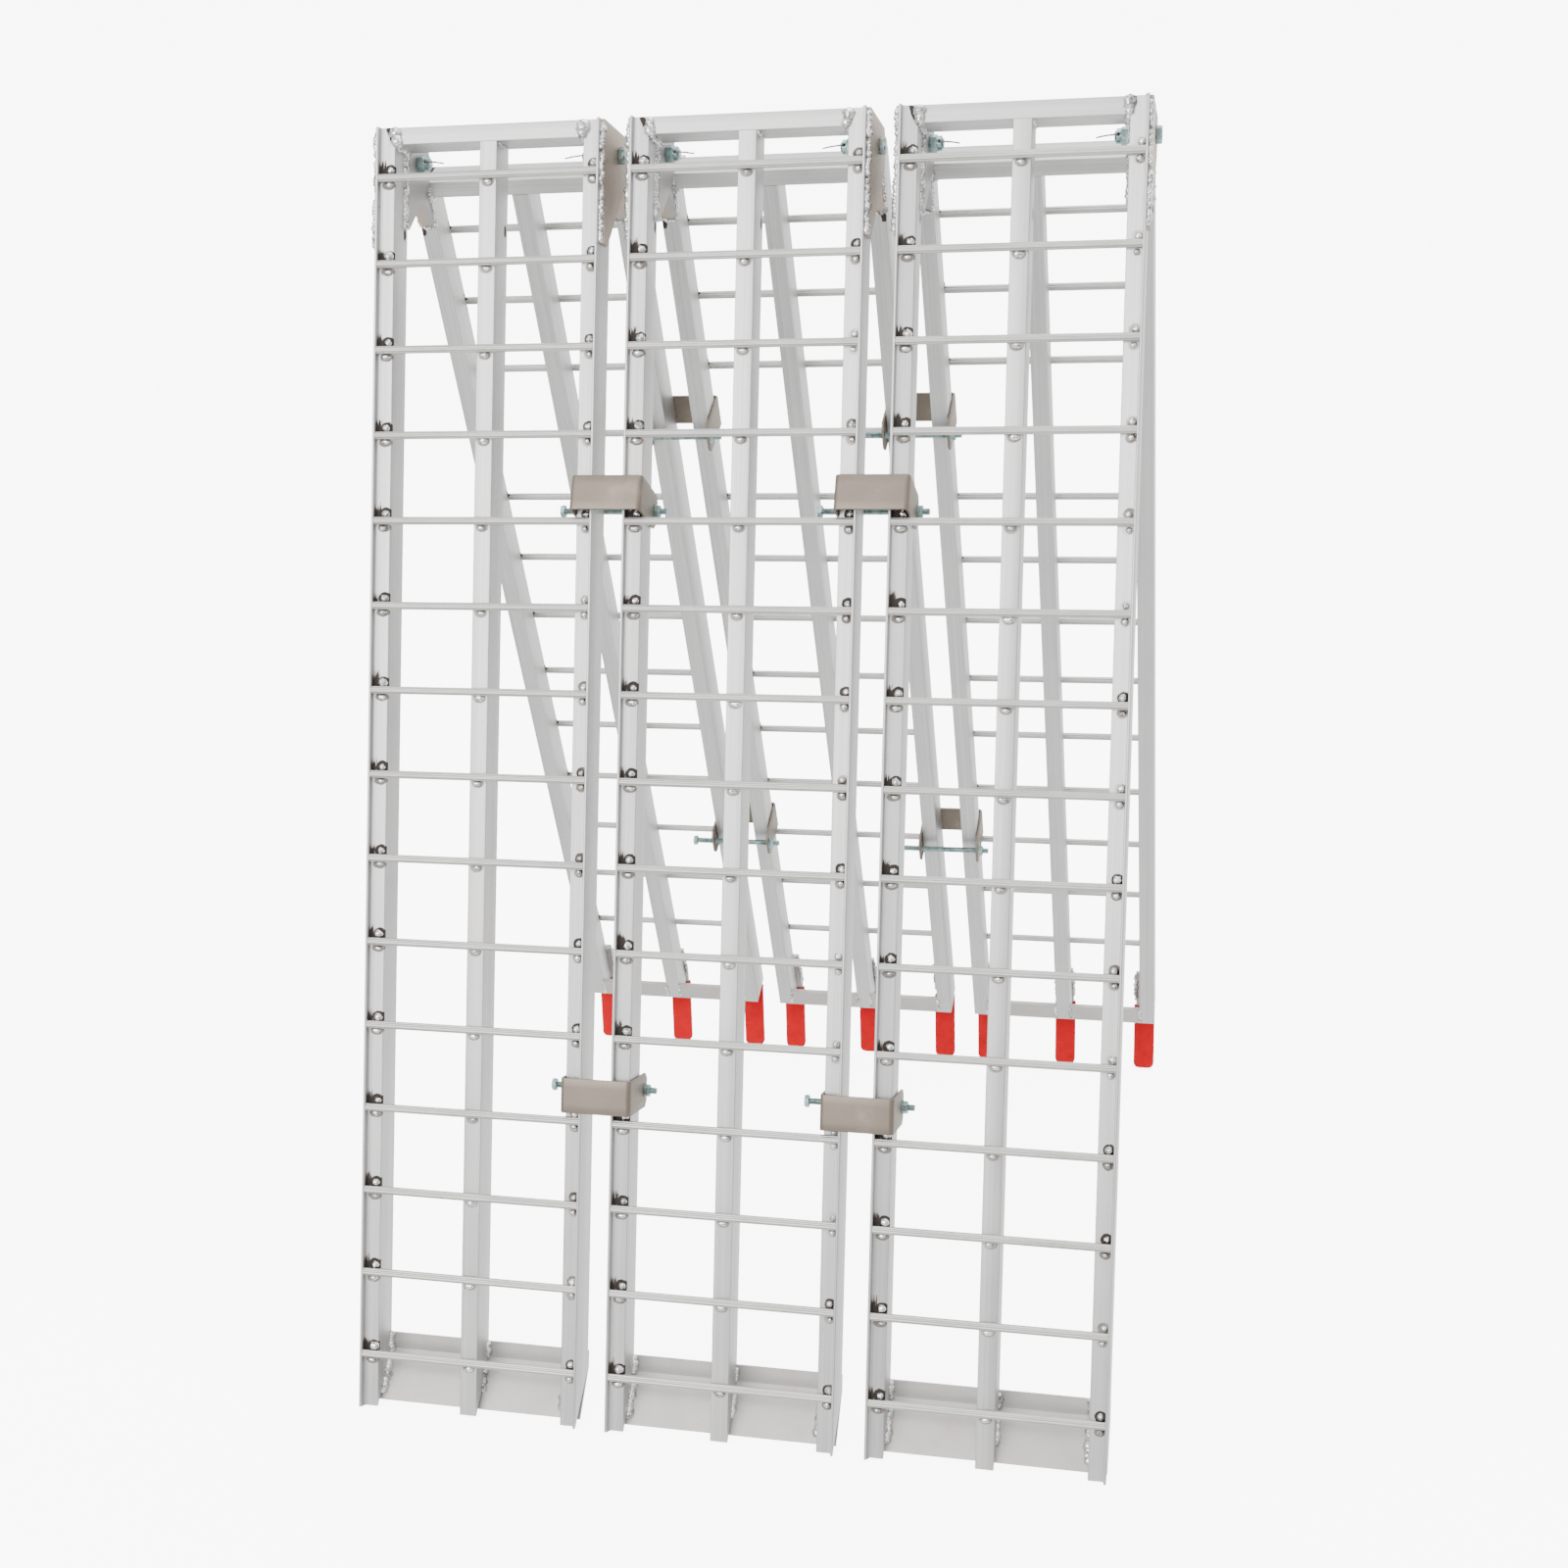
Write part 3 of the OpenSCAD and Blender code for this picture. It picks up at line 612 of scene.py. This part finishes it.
def bead_shape(starts, ends, radius):
    """Closed beads from starts to ends. The radius along a bead is the root of one minus the
    distance from its middle to the power of its bluntness, times one plus random ripples."""
    count, rows, columns = len(starts), bead_rows, bead_columns
    along = np.linspace(-1, 1, rows)
    swell = np.sqrt(np.clip(1 - np.abs(along) ** bead_blunt, 0, None))
    line = ends - starts
    length = np.linalg.norm(line, axis=1, keepdims=True)
    line = line / length
    side = np.cross(line, np.where(np.abs(line[:, :1]) > 0.7, (0.0, 1.0, 0.3), (1.0, 0.2, 0.0)))
    side /= np.linalg.norm(side, axis=1, keepdims=True)
    other = np.cross(line, side)
    turn = whole_turn(columns)
    lump = 1 + bead_ripple * weld_seed.uniform(-1, 1, (count, rows, columns))
    lump = lump + bead_ripple * weld_seed.uniform(-1, 1, (count, rows, 1))
    reach = np.asarray(radius).reshape(-1, 1, 1) * swell[None, :, None] * lump
    spine = (starts + ends)[:, None] / 2 + line[:, None] * along[None, :, None] * length[:, None] / 2
    turn = turn[None, None, :, None]
    ring = np.cos(turn) * side[:, None, None] + np.sin(turn) * other[:, None, None]
    points = spine[:, :, None] + ring * reach[..., None]
    inner = points[:, 1:-1].reshape(count, -1, 3)
    points = np.concatenate([inner, spine[:, :1], spine[:, -1:]], axis=1)
    size = points.shape[1]
    quads = ring_faces(rows - 2, columns)
    tips = end_fans(rows - 2, columns, size - 2, size - 1)
    first = np.arange(count)[:, None, None] * size
    return points.reshape(-1, 3), [(first + quads).reshape(-1, 4), (first + tips).reshape(-1, 3)]


def together(parts):
    """Several shapes as one: their points in a row, and each one's faces moved on to match."""
    points, faces, start = [], [], 0
    for part_points, part_faces in parts:
        points.append(part_points)
        faces += [block + start for block in part_faces]
        start += len(part_points)
    return np.concatenate(points), faces


def weld_metal(half):
    """Filler metal: bright and smooth on the crowns, with black pits and soot in the hollows. Its colour
    carries a painted highlight and shade: near white on the crowns of the lumps that its bump raises, and
    grey between them.
    """
    material, shader, place = new_material("weld_metal_" + half, Metallic=1.0)
    lumps = place.noise(160.0, 3.0, 0.5)
    pits = place.noise(420.0, 2.0, 0.5)
    soot = place.noise(45.0, 3.0, 0.6, 0.6).band(0.50, 0.66) * pits.band(0.35, 0.6)
    # Painted highlight and shade: the colour is near white where the lumps stand high in the bump and grey
    # where they lie low.
    colour = lumps.ramp(0.3, (0.36, 0.36, 0.357), 0.60, (0.93, 0.93, 0.93))
    colour = colour.tinted(soot * 0.85, (0.05, 0.04, 0.033))
    connect(shader, Base_Color=colour, Roughness=0.08 + lumps * 0.14 + soot * 0.4,
            Metallic=1 - soot * 0.7, Normal=bump(lumps * 0.7 + pits * 0.3, 0.45, 0.0012))
    return material


weld = {half: weld_metal(half) for half in ("front", "rear")}


def round_beads(half, middle):
    """The short beads on a section's rungs: two at either end, and one under each on the centre rail.
    Gives their starts, ends and radii."""
    rows = []
    for side, sign in (("left", -1), ("right", 1)):
        for inward, up, wide, tall in end_beads[side]:
            rows.append((middle + sign * (section_w / 2 - lip_t - inward), up, wide, tall))
    rows.append((middle, -0.0074, 0.0068, 0.0042))
    drops = rung_drops(half)
    x, up, wide, tall = (np.tile(column, len(drops)) for column in np.array(rows).T)
    z = np.repeat(drops, len(rows)) + up + weld_seed.uniform(-0.0007, 0.0007, len(x))
    x = x + weld_seed.uniform(-0.0009, 0.0009, len(x))
    size = weld_seed.uniform(0.78, 1.16, len(x))
    middles = np.column_stack([x, np.full(len(x), face - 0.0010), z])
    reach = np.column_stack([wide * size, np.zeros((len(x), 2))])
    return middles - reach, middles + reach, tall * size


def weld_run(start, end, radius, wander=0.0009):
    """A long weld as overlapping short beads, one every 0.9 radii from start to end."""
    start, end = np.array(start), np.array(end)
    length = np.linalg.norm(end - start)
    count = max(2, int(length / (0.9 * radius)))
    share = (np.arange(count) + 0.5)[:, None] / count
    middles = start + (end - start) * share + weld_seed.uniform(-wander, wander, (count, 3))
    size = weld_seed.uniform(0.75, 1.15, count)
    reach = (end - start) / length * size[:, None] * radius * 1.1
    return middles - reach, middles + reach, size * radius


def lengthwise(x, y, high, low, radius):
    """A long weld straight along the half, from one height to another."""
    return (x, y, high), (x, y, low), radius


def side_welds(half):
    """Long welds by a left side rail: start, end and radius of each, from the section's left edge."""
    top = rail_top[half]
    low = top - beam_h
    inside = rail_w - 0.0004
    runs = [
        ((inside + 0.001, face + 0.0004, top - 0.003), (inside + 0.002, face + 0.0004, low), 0.0074),
        ((inside + 0.002, face + 0.003, low - 0.0005), (inside + 0.002, under - 0.002, low - 0.001), 0.0048),
        lengthwise(inside, under - 0.001, top - 0.002, low + 0.001, 0.0040),
    ]
    if half == "front":
        slant = (foot_cut, under - face - foot_toe)
        bend = front_foot + foot_cut
        runs += [
            lengthwise(inside, under - 0.009, 0.004, -0.083, 0.0046),
            lengthwise(-0.0018, face - 0.0014, 0.021, -0.006, 0.0044),
            lengthwise(-0.0018, face - 0.0010, -0.012, -0.048, 0.0034),
            lengthwise(-0.0018, face - 0.0014, -0.054, -0.111, 0.0042),
            lengthwise(inside + 0.001, under - 0.003, bend + 0.018, bend - 0.002, 0.0052),
            ((inside + 0.0015, under - 0.0015 - 0.20 * slant[1], bend - 0.20 * slant[0]),
             (inside + 0.0015, under - 0.0015 - 0.76 * slant[1], bend - 0.76 * slant[0]), 0.0062),
        ]
    else:
        runs += [
            lengthwise(0.0006, under + 0.0004, rear_top - 0.003, -0.093, 0.0030),
            lengthwise(rail_w - 0.0006, under + 0.0004, rear_top - 0.003, -0.093, 0.0030),
            ((0.004, under + 0.0004, -0.0955), (rail_w - 0.004, under + 0.0004, -0.0955), 0.0026),
            lengthwise(lip_t + finger_w, face - 0.0006, rear_end + 0.006,
                       rear_end + finger_seat - 0.004, 0.0030),
            ((lip_t + 0.003, face - 0.0006, rear_end + finger_seat),
             (lip_t + finger_w - 0.003, face - 0.0006, rear_end + finger_seat), 0.0030),
            lengthwise(inside, under - 0.0010, rear_end + 0.003, rear_end + tip_bar_h - 0.003, 0.0030),
        ]
    return runs


def centre_welds(half):
    """Long welds by the centre rail, from the section's left edge."""
    low = rail_top[half] - beam_h
    middle = section_w / 2
    side = middle + rail_w / 2 - 0.0004
    runs = [((side, face + 0.006, low - 0.0004), (side, under - 0.008, low - 0.0004), 0.0034)]
    if half == "front":
        bend = front_foot + foot_cut
        runs += [
            lengthwise(side, under - 0.003, bend + 0.017, bend + 0.001, 0.0046),
            ((side, under - 0.012, bend - 0.012), (side, under - 0.022, bend - 0.036), 0.0050),
        ]
    else:
        bar_high = rear_end + tip_bar_h - 0.004
        seat_high = rear_end + finger_seat - 0.006
        runs += [lengthwise(middle + way * rail_w / 2, under - 0.0010, rear_end + 0.004, bar_high, 0.0028)
                 for way in (-1, 1)]
        runs += [lengthwise(middle + way * finger_w / 2, face - 0.0006, rear_end + 0.008, seat_high, 0.0028)
                 for way in (-1, 1)]
    return runs


for half in ("front", "rear"):
    for section, middle in sections.items():
        batches = [round_beads(half, middle)]
        left = middle - section_w / 2
        for start, end, radius in side_welds(half):
            for edge, way in ((left, 1), (left + section_w, -1)):
                placed = [(edge + way * point[0], *point[1:]) for point in (start, end)]
                batches.append(weld_run(*placed, radius))
        for start, end, radius in centre_welds(half):
            placed = [(left + point[0], *point[1:]) for point in (start, end)]
            batches.append(weld_run(*placed, radius))
        points, faces = together([bead_shape(*batch) for batch in batches])
        make_piece(f"{section}_{half}_welds", points, faces, half, weld[half], 80.0)

# The sheet parts: brackets, hinge plates and arms, foot plates, tip bars and fingers.
# They are sheared and bent from dull warm grey aluminium sheet.


def sheet_aluminium(half, name, colour):
    """Rolled sheet: a fine crosswise grain, warm oxide clouds and a few dark specks."""
    material, shader, place = new_material(name + "_" + half, Metallic=0.9)
    level, x, y, z = leaf_place(place, half)
    grain = level.stretched(40.0, 700.0, 700.0).noise(1.0, 4.0, 0.7)
    cloud = level.noise(16.0, 5.0, 0.6)
    specks = level.noise(240.0, 3.0, 0.6).band(0.70, 0.78)
    dark, pale = (tuple(tone * share for tone in colour) for share in (0.84, 1.1))
    colour = (grain * 0.35 + cloud * 0.65).ramp(0.3, dark, 0.7, pale)
    colour = colour.tinted(cloud.band(0.56, 0.8) * 0.5, (0.40, 0.34, 0.275))
    colour = colour.tinted(specks * 0.55, (0.13, 0.11, 0.09))
    if name == "hinge_sheet":
        inward = section_w / 2 - abs(section_places(x, z, half)[0])
        colour = colour.tinted(inward.band(0.008, 0.016) * 0.8, (0.36, 0.365, 0.36))
    connect(shader, Base_Color=colour, Roughness=0.40 + grain * 0.12 + cloud * 0.1,
            Normal=bump(grain, 0.25, 0.0002))
    return material


bracket_sheet, hinge_sheet, plate_sheet = (
    {half: sheet_aluminium(half, name, colour) for half in ("front", "rear")}
    for name, colour in (("bracket_sheet", (0.225, 0.190, 0.155)), ("hinge_sheet", (0.42, 0.355, 0.295)),
                         ("plate_sheet", (0.50, 0.485, 0.46)))
)
for name, node in frame["nodes"].items():
    half = "rear" if body_of(node) == "rear_half" else "front"
    if "hinge_plates" in name or "hinge_arms" in name:
        finish = hinge_sheet[half]
    elif any(word in name for word in ("foot_plate", "tip_bar", "fingers")):
        finish = plate_sheet[half]
    else:
        continue
    node.data.materials.clear()
    node.data.materials.append(finish)

# The brackets: U-shaped straps bent from thick sheet, two across each gap on either half.
# The web lies over the lips, and the legs reach back between the rungs past the rails.
bracket_t, bracket_h, bracket_play = 0.003, 0.041, 0.0005
bracket_in = section_gap + 2 * rail_w + 2 * bracket_play
bolt_line = under + 0.012
bracket_end = bolt_line + 0.009
bracket_web = face - lip_h - bracket_play
bracket_cut, bracket_bend = 0.007, 0.0045
over_rung = 0.031
bracket_rows = {}
for half, upper_rung, lower_rung, upper_sag in (("front", 5, 4, 14.5), ("rear", 4, 3, 0.0)):
    numbers = (upper_rung - 1, rung_count[half] - lower_rung)
    drops = [first_rung[half] + number * rung_pitch - over_rung for number in numbers]
    bracket_rows[half] = ((drops[0], math.radians(upper_sag)), (drops[1], 0.0))


def hung(points, drop, sag, gap):
    """A bracket part moved to its gap, and sagging by a turn about the web's upper edge."""
    y = points[..., 1] - bracket_web
    z = points[..., 2] - bracket_h / 2
    return np.stack([
        points[..., 0] + gap * section_step / 2,
        bracket_web + y * math.cos(sag) + z * math.sin(sag),
        bracket_h / 2 - drop - y * math.sin(sag) + z * math.cos(sag),
    ], axis=-1)


def bracket_shape():
    """Half of the strap's middle line is leg, bend and half web, and the other half mirrors it.
    A station on the line spans the height, less the corner cut near the leg's end."""
    out = bracket_in / 2 + bracket_t / 2
    back = bracket_web - bracket_t / 2
    turn = np.linspace(0, np.pi / 2, 7)
    leg_y = np.array([bracket_end, bracket_end - bracket_cut, (bracket_end + back) / 2])
    bend = np.column_stack([out - bracket_bend + bracket_bend * np.cos(turn),
                            back + bracket_bend - bracket_bend * np.sin(turn)])
    half_line = np.concatenate([np.column_stack([np.full(3, out), leg_y]), bend])
    line = np.concatenate([half_line, half_line[::-1] * (-1, 1)])
    tall = bracket_h / 2 - np.clip(line[:, 1] - (bracket_end - bracket_cut), 0, None)
    rows = np.linspace(-1, 1, 5)[:, None]
    points = np.stack([np.broadcast_to(line[:, 0], (5, len(line))),
                       np.broadcast_to(line[:, 1], (5, len(line))), rows * tall], axis=-1)
    row, column = np.meshgrid(np.arange(4), np.arange(len(line) - 1), indexing="ij")
    a = row * len(line) + column
    faces = np.stack([a, a + 1, a + 1 + len(line), a + len(line)], axis=-1).reshape(-1, 4)
    return points.reshape(-1, 3), faces


strap_points, strap_faces = bracket_shape()
for half, rows in bracket_rows.items():
    for side, gap in (("left", -1), ("right", 1)):
        straps = [hung(strap_points, drop, sag, gap) for drop, sag in rows]
        faces = np.concatenate([strap_faces, strap_faces + len(strap_points)])
        piece = make_piece(f"{half}_{side}_straps", np.concatenate(straps), [faces], half,
                           bracket_sheet[half])
        wall = piece.modifiers.new("wall", "SOLIDIFY")
        wall.thickness = bracket_t
        wall.offset = 0.0
        rim = piece.modifiers.new("rim", "BEVEL")
        rim.width = 0.0004
        rim.segments = 2
        rim.limit_method = "ANGLE"
        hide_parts(f"{half}_{side}_brackets")

# The fasteners: zinc-plated steel with a bluish cast.
# Long bolts, slack under their hexagon heads, hold the brackets behind the rails.


def plated_steel(name, low, high):
    """Zinc plate: cloudy between two tones, a little rough."""
    material, shader, place = new_material(name, Metallic=1.0)
    cloud = place.noise(130.0, 4.0, 0.6)
    connect(shader, Base_Color=cloud.ramp(0.3, low, 0.7, high), Roughness=0.22 + cloud * 0.18,
            Normal=bump(cloud, 0.15, 0.0004))
    return material


zinc = plated_steel("zinc_plate", (0.16, 0.25, 0.25), (0.42, 0.54, 0.53))
bolt_d, bolt_hex, bolt_head_h, bolt_nut_h, bolt_tail = 0.008, 0.013, 0.0055, 0.0065, 0.008
bolt_slack = 0.024
washer_d, washer_t = 0.0165, 0.0012
thread_pitch, thread_depth = 0.00125, 0.0006
turned_columns = 24


def turned(xs, radii):
    """A closed solid about the x axis: each row of radii is a ring at one x, with a middle point
    closing either end."""
    rows, columns = radii.shape
    turn = whole_turn(columns)
    rings = np.stack([np.broadcast_to(xs[:, None], radii.shape), radii * np.cos(turn),
                      radii * np.sin(turn)], axis=-1).reshape(-1, 3)
    points = np.concatenate([rings, [[xs[0], 0, 0], [xs[-1], 0, 0]]])
    tips = end_fans(rows, columns, rows * columns, rows * columns + 1)
    return points, [ring_faces(rows, columns)[:, ::-1], tips[:, ::-1]]


def hexagon(start, length, flats):
    """A hexagonal head: the radius at a turn is half the flats over the cosine of the angle from
    the nearest flat, and no more than a cone that rounds off the corners at both ends."""
    turn = whole_turn(turned_columns)
    flat = flats / 2 / np.cos((turn + np.pi / 6) % (np.pi / 3) - np.pi / 6)
    xs = start + length * np.array([0, 0.02, 0.12, 0.5, 0.88, 0.98, 1])
    cone = flats / 2 * 0.98 + np.minimum(xs - start, start + length - xs) * 2.2
    return turned(xs, np.minimum(flat[None], cone[:, None]))


def disc(start, length, diameter):
    """A washer: a short cylinder with softened rims."""
    xs = start + length * np.array([0, 0.15, 0.85, 1])
    radii = diameter / 2 - np.array([0.0004, 0, 0, 0.0004])
    return turned(xs, np.repeat(radii[:, None], turned_columns, axis=1))


def threaded(start, length, diameter):
    """A screwed rod: the radius dips with the fraction of a turn along the thread, as a triangle
    wave of x over the pitch less the turn, and shrinks at both tips."""
    rows = int(length / thread_pitch * 4)
    xs = np.linspace(start, start + length, rows)
    turn = np.linspace(0, 1, turned_columns, endpoint=False)
    wave = np.abs(((xs[:, None] / thread_pitch - turn) % 1) * 2 - 1)
    tip = np.clip(0.0008 - np.minimum(xs - start, start + length - xs), 0, None)
    return turned(xs, diameter / 2 - wave * thread_depth - tip[:, None])


out = bracket_in / 2 + bracket_t
bolt_parts = [
    hexagon(-out - bolt_slack - bolt_head_h, bolt_head_h, bolt_hex),
    threaded(-out - bolt_slack, bolt_slack + 2 * out + bolt_nut_h + bolt_tail, bolt_d),
]
nut_parts = [hexagon(out, bolt_nut_h, bolt_hex), disc(out, washer_t, washer_d)]
for kind, parts in (("bolts", bolt_parts), ("nuts", nut_parts)):
    shape_points, shape_faces = together(parts)
    shape_points = shape_points + np.array([0, bolt_line, 0])
    for half, rows in bracket_rows.items():
        placed = [(hung(shape_points, drop, sag, gap), shape_faces)
                  for gap in (-1, 1) for drop, sag in rows]
        points, faces = together(placed)
        piece = make_piece(f"{half}_strap_{kind}", points, faces, half, zinc, 30.0)
        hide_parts(f"{half}_bracket_{kind}")

# The hinge fasteners: a zinc-plated bolt through each pair of plates, with a castle nut inside.
# A split pin through the nut is put in from behind, and one of its tails is bent out along the bolt.
pin_d, pin_hex, pin_head_h, plate_t = 0.012, 0.018, 0.007, 0.004
castle_hex_h, castle_crown_h, castle_slot = 0.009, 0.005, 0.0032
cotter_d, cotter_span, cotter_tail = 0.0026, 0.022, 0.024
nut_start = rail_w + plate_t
castle_end = nut_start + castle_hex_h + castle_crown_h
cotter_x = nut_start + castle_hex_h + castle_crown_h / 2


def castle_crown():
    """The slotted crown: a cylinder whose radius drops to the bolt's where its distance from the
    nearest slot's middle line, the radius times the sine of the turn, is under half a slot."""
    columns = 96
    turn = whole_turn(columns)
    full = pin_hex / 2 - 0.0006
    from_slot = np.abs((turn + np.pi / 6) % (np.pi / 3) - np.pi / 6)
    open_here = full * np.sin(from_slot) < castle_slot / 2
    xs = nut_start + castle_hex_h + castle_crown_h * np.array([-0.1, 0.12, 0.13, 0.9, 1.0])
    cut_depth = np.array([0, 0, 1, 1, 1])[:, None] * open_here[None] * (full - pin_d / 2 - 0.0004)
    chamfer = np.array([0, 0, 0, 0, 0.0005])[:, None]
    return turned(xs, full - cut_depth - chamfer)


def bent_wire(path, radius, columns=10):
    """A round wire along a path: rings square to the path at every point, closed at both ends."""
    path = np.asarray(path, dtype=float)
    way = np.gradient(path, axis=0)
    way /= np.linalg.norm(way, axis=1, keepdims=True)
    side = np.cross(way, (0.0, 0.0, 1.0))
    side /= np.linalg.norm(side, axis=1, keepdims=True)
    other = np.cross(way, side)
    turn = whole_turn(columns)[None, :, None]
    reach = np.broadcast_to(np.asarray(radius, dtype=float), len(path))[:, None, None]
    rings = path[:, None] + reach * (np.cos(turn) * side[:, None] + np.sin(turn) * other[:, None])
    points = np.concatenate([rings.reshape(-1, 3), path[:1], path[-1:]])
    tips = end_fans(len(path), columns, len(points) - 2, len(points) - 1)
    return points, [ring_faces(len(path), columns), tips]


def split_pin():
    """An eye behind, both legs through the nut, and one leg bent a quarter turn into a tail."""
    r = cotter_d / 2
    front, back = -cotter_span / 2, cotter_span / 2
    bend = np.linspace(0, np.pi / 2, 6)
    tail = np.concatenate([
        [[0, back - 0.003, 0], [0, 0, 0]],
        np.column_stack([0.003 * (1 - np.cos(bend)), front + 0.003 - 0.003 * np.sin(bend),
                         np.full(6, -0.0004)]),
        [[cotter_tail * 0.6, front + 0.0004, -0.0014], [cotter_tail, front + 0.001, -0.0030]],
    ])
    short = [[0, back - 0.003, 0.0005], [0, 0, 0.0005],
             [0.0002, front + 0.003, 0.0006], [0.0004, front, 0.0016]]
    loop = np.linspace(-0.85 * np.pi, 0.85 * np.pi, 16)
    eye = np.column_stack([0.0028 * np.sin(loop), back - 0.0022 + 0.0026 * np.cos(loop), 0 * loop])
    tapered = np.linspace(r * 0.95, r * 0.7, len(tail))
    wires = ((tail, tapered), (short, r * 0.75), (eye, r * 0.6))
    points, faces = together([bent_wire(path, radius) for path, radius in wires])
    return points + np.array([cotter_x, 0, 0]), faces


def at_hinges(parts):
    """A shape laid out on a left rail, on both sides of every section, turned inside out and back
    where it is mirrored."""
    points, faces = together(parts)
    mirrored = points * (-1, 1, 1)
    flipped = [block[:, ::-1] for block in faces]
    placed = []
    for middle in sections.values():
        placed.append((points + (middle - section_w / 2, 0, 0), faces))
        placed.append((mirrored + (middle + section_w / 2, 0, 0), flipped))
    return together(placed)


wire = plated_steel("steel_wire", (0.12, 0.12, 0.115), (0.26, 0.26, 0.25))
for kind, metal, parts in (
    ("bolts", zinc, [hexagon(-plate_t - pin_head_h, pin_head_h, pin_hex),
                     threaded(-plate_t, castle_end + 0.002 + plate_t, pin_d)]),
    ("castle_nuts", zinc, [hexagon(nut_start, castle_hex_h, pin_hex), castle_crown()]),
    ("cotter_pins", wire, [split_pin()]),
):
    points, faces = at_hinges(parts)
    piece = make_piece("plated_hinge_" + kind, points, faces, "front", metal, 30.0)
    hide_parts("hinge_" + kind)

# The tip sleeves: red rubber dipped over the ends of the fingers.
# They are soft-edged, with rounded lower corners, and grip the edge of a truck bed.
rubber, rubber_shader, rubber_place = new_material("red_rubber", Specular_IOR_Level=0.12)
rubber_cloud = rubber_place.noise(60.0, 4.0, 0.6)
rubber_tone = rubber_cloud.ramp(0.3, (0.50, 0.0010, 0.0060), 0.7, (0.62, 0.0015, 0.0085))
connect(rubber_shader, Base_Color=rubber_tone, Roughness=0.40 + rubber_cloud * 0.2,
        Normal=bump(rubber_place.noise(900.0, 2.0), 0.08, 0.0003))
finger_t, finger_reach, sleeve_gap = 0.006, 0.106, 0.006
sleeve_t, sleeve_corner, sleeve_edge = 0.003, 0.009, 0.003
finger_lefts = (lip_t, (section_w - finger_w) / 2, section_w - lip_t - finger_w)


def sleeve_shape():
    """A dipped cap: a rounded rectangle carried from an inner rim, over the open end and down,
    then turned by the finger's bend about the rail end.
    Near the lower end each side draws in as a circle does: the corner radius less the root of its
    square less the square of what is left of it."""
    depth = finger_t + 2 * sleeve_t
    width = finger_w + 2 * sleeve_t
    box = np.array([(-1, -1), (1, -1), (1, 1), (-1, 1)]) * (width / 2, depth / 2)
    outline = rounded_outline(box, sleeve_edge, 6)
    end = np.linspace(0, 1, 9)
    drawn = 1 - np.sqrt(1 - end ** 2)
    low = -finger_reach - sleeve_t
    top = -sleeve_gap
    # rows: inside the open rim, over it with a slight roll, down the sides, round the lower end
    heights = np.concatenate([[top - 0.004, top - 0.0006, top, top - 0.0012, top - 0.004, top - 0.007],
                              np.linspace(top - 0.03, low + sleeve_corner, 4)[:-1],
                              low + sleeve_corner * (1 - end)])
    rim = [0.0018, 0.0016, 0.0006, 0.0, 0.0001, 0.0004]
    in_x, in_y = (np.concatenate([rim, np.full(3, 0.0005), 0.0005 * (1 - end) + corner * drawn])
                  for corner in (sleeve_corner, sleeve_edge))
    scale = np.stack([1 - in_x / (width / 2), 1 - in_y / (depth / 2)], axis=-1)
    rows = outline[None] * scale[:, None]
    points = np.concatenate([rows, np.broadcast_to(heights[:, None, None], (*rows.shape[:2], 1))], axis=-1)
    count = len(outline)
    bottom = np.arange(count)[None] + (len(heights) - 1) * count
    x, y, z = points.reshape(-1, 3).T
    y = y - finger_t / 2
    bent = np.column_stack([x, face + y * math.cos(finger_bend) - z * math.sin(finger_bend),
                            rear_end + y * math.sin(finger_bend) + z * math.cos(finger_bend)])
    return bent, [ring_faces(len(heights), count), bottom[:, ::-1]]


sleeve_points, sleeve_faces = sleeve_shape()
for section, middle in sections.items():
    lefts = middle - section_w / 2 + np.array(finger_lefts) + finger_w / 2
    points, faces = copies(sleeve_points, sleeve_faces, np.column_stack([lefts, np.zeros(3), np.zeros(3)]))
    piece = make_piece(section + "_dipped_sleeves", points, faces, "rear", rubber, 50.0)
    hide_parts(section + "_tip_sleeves")
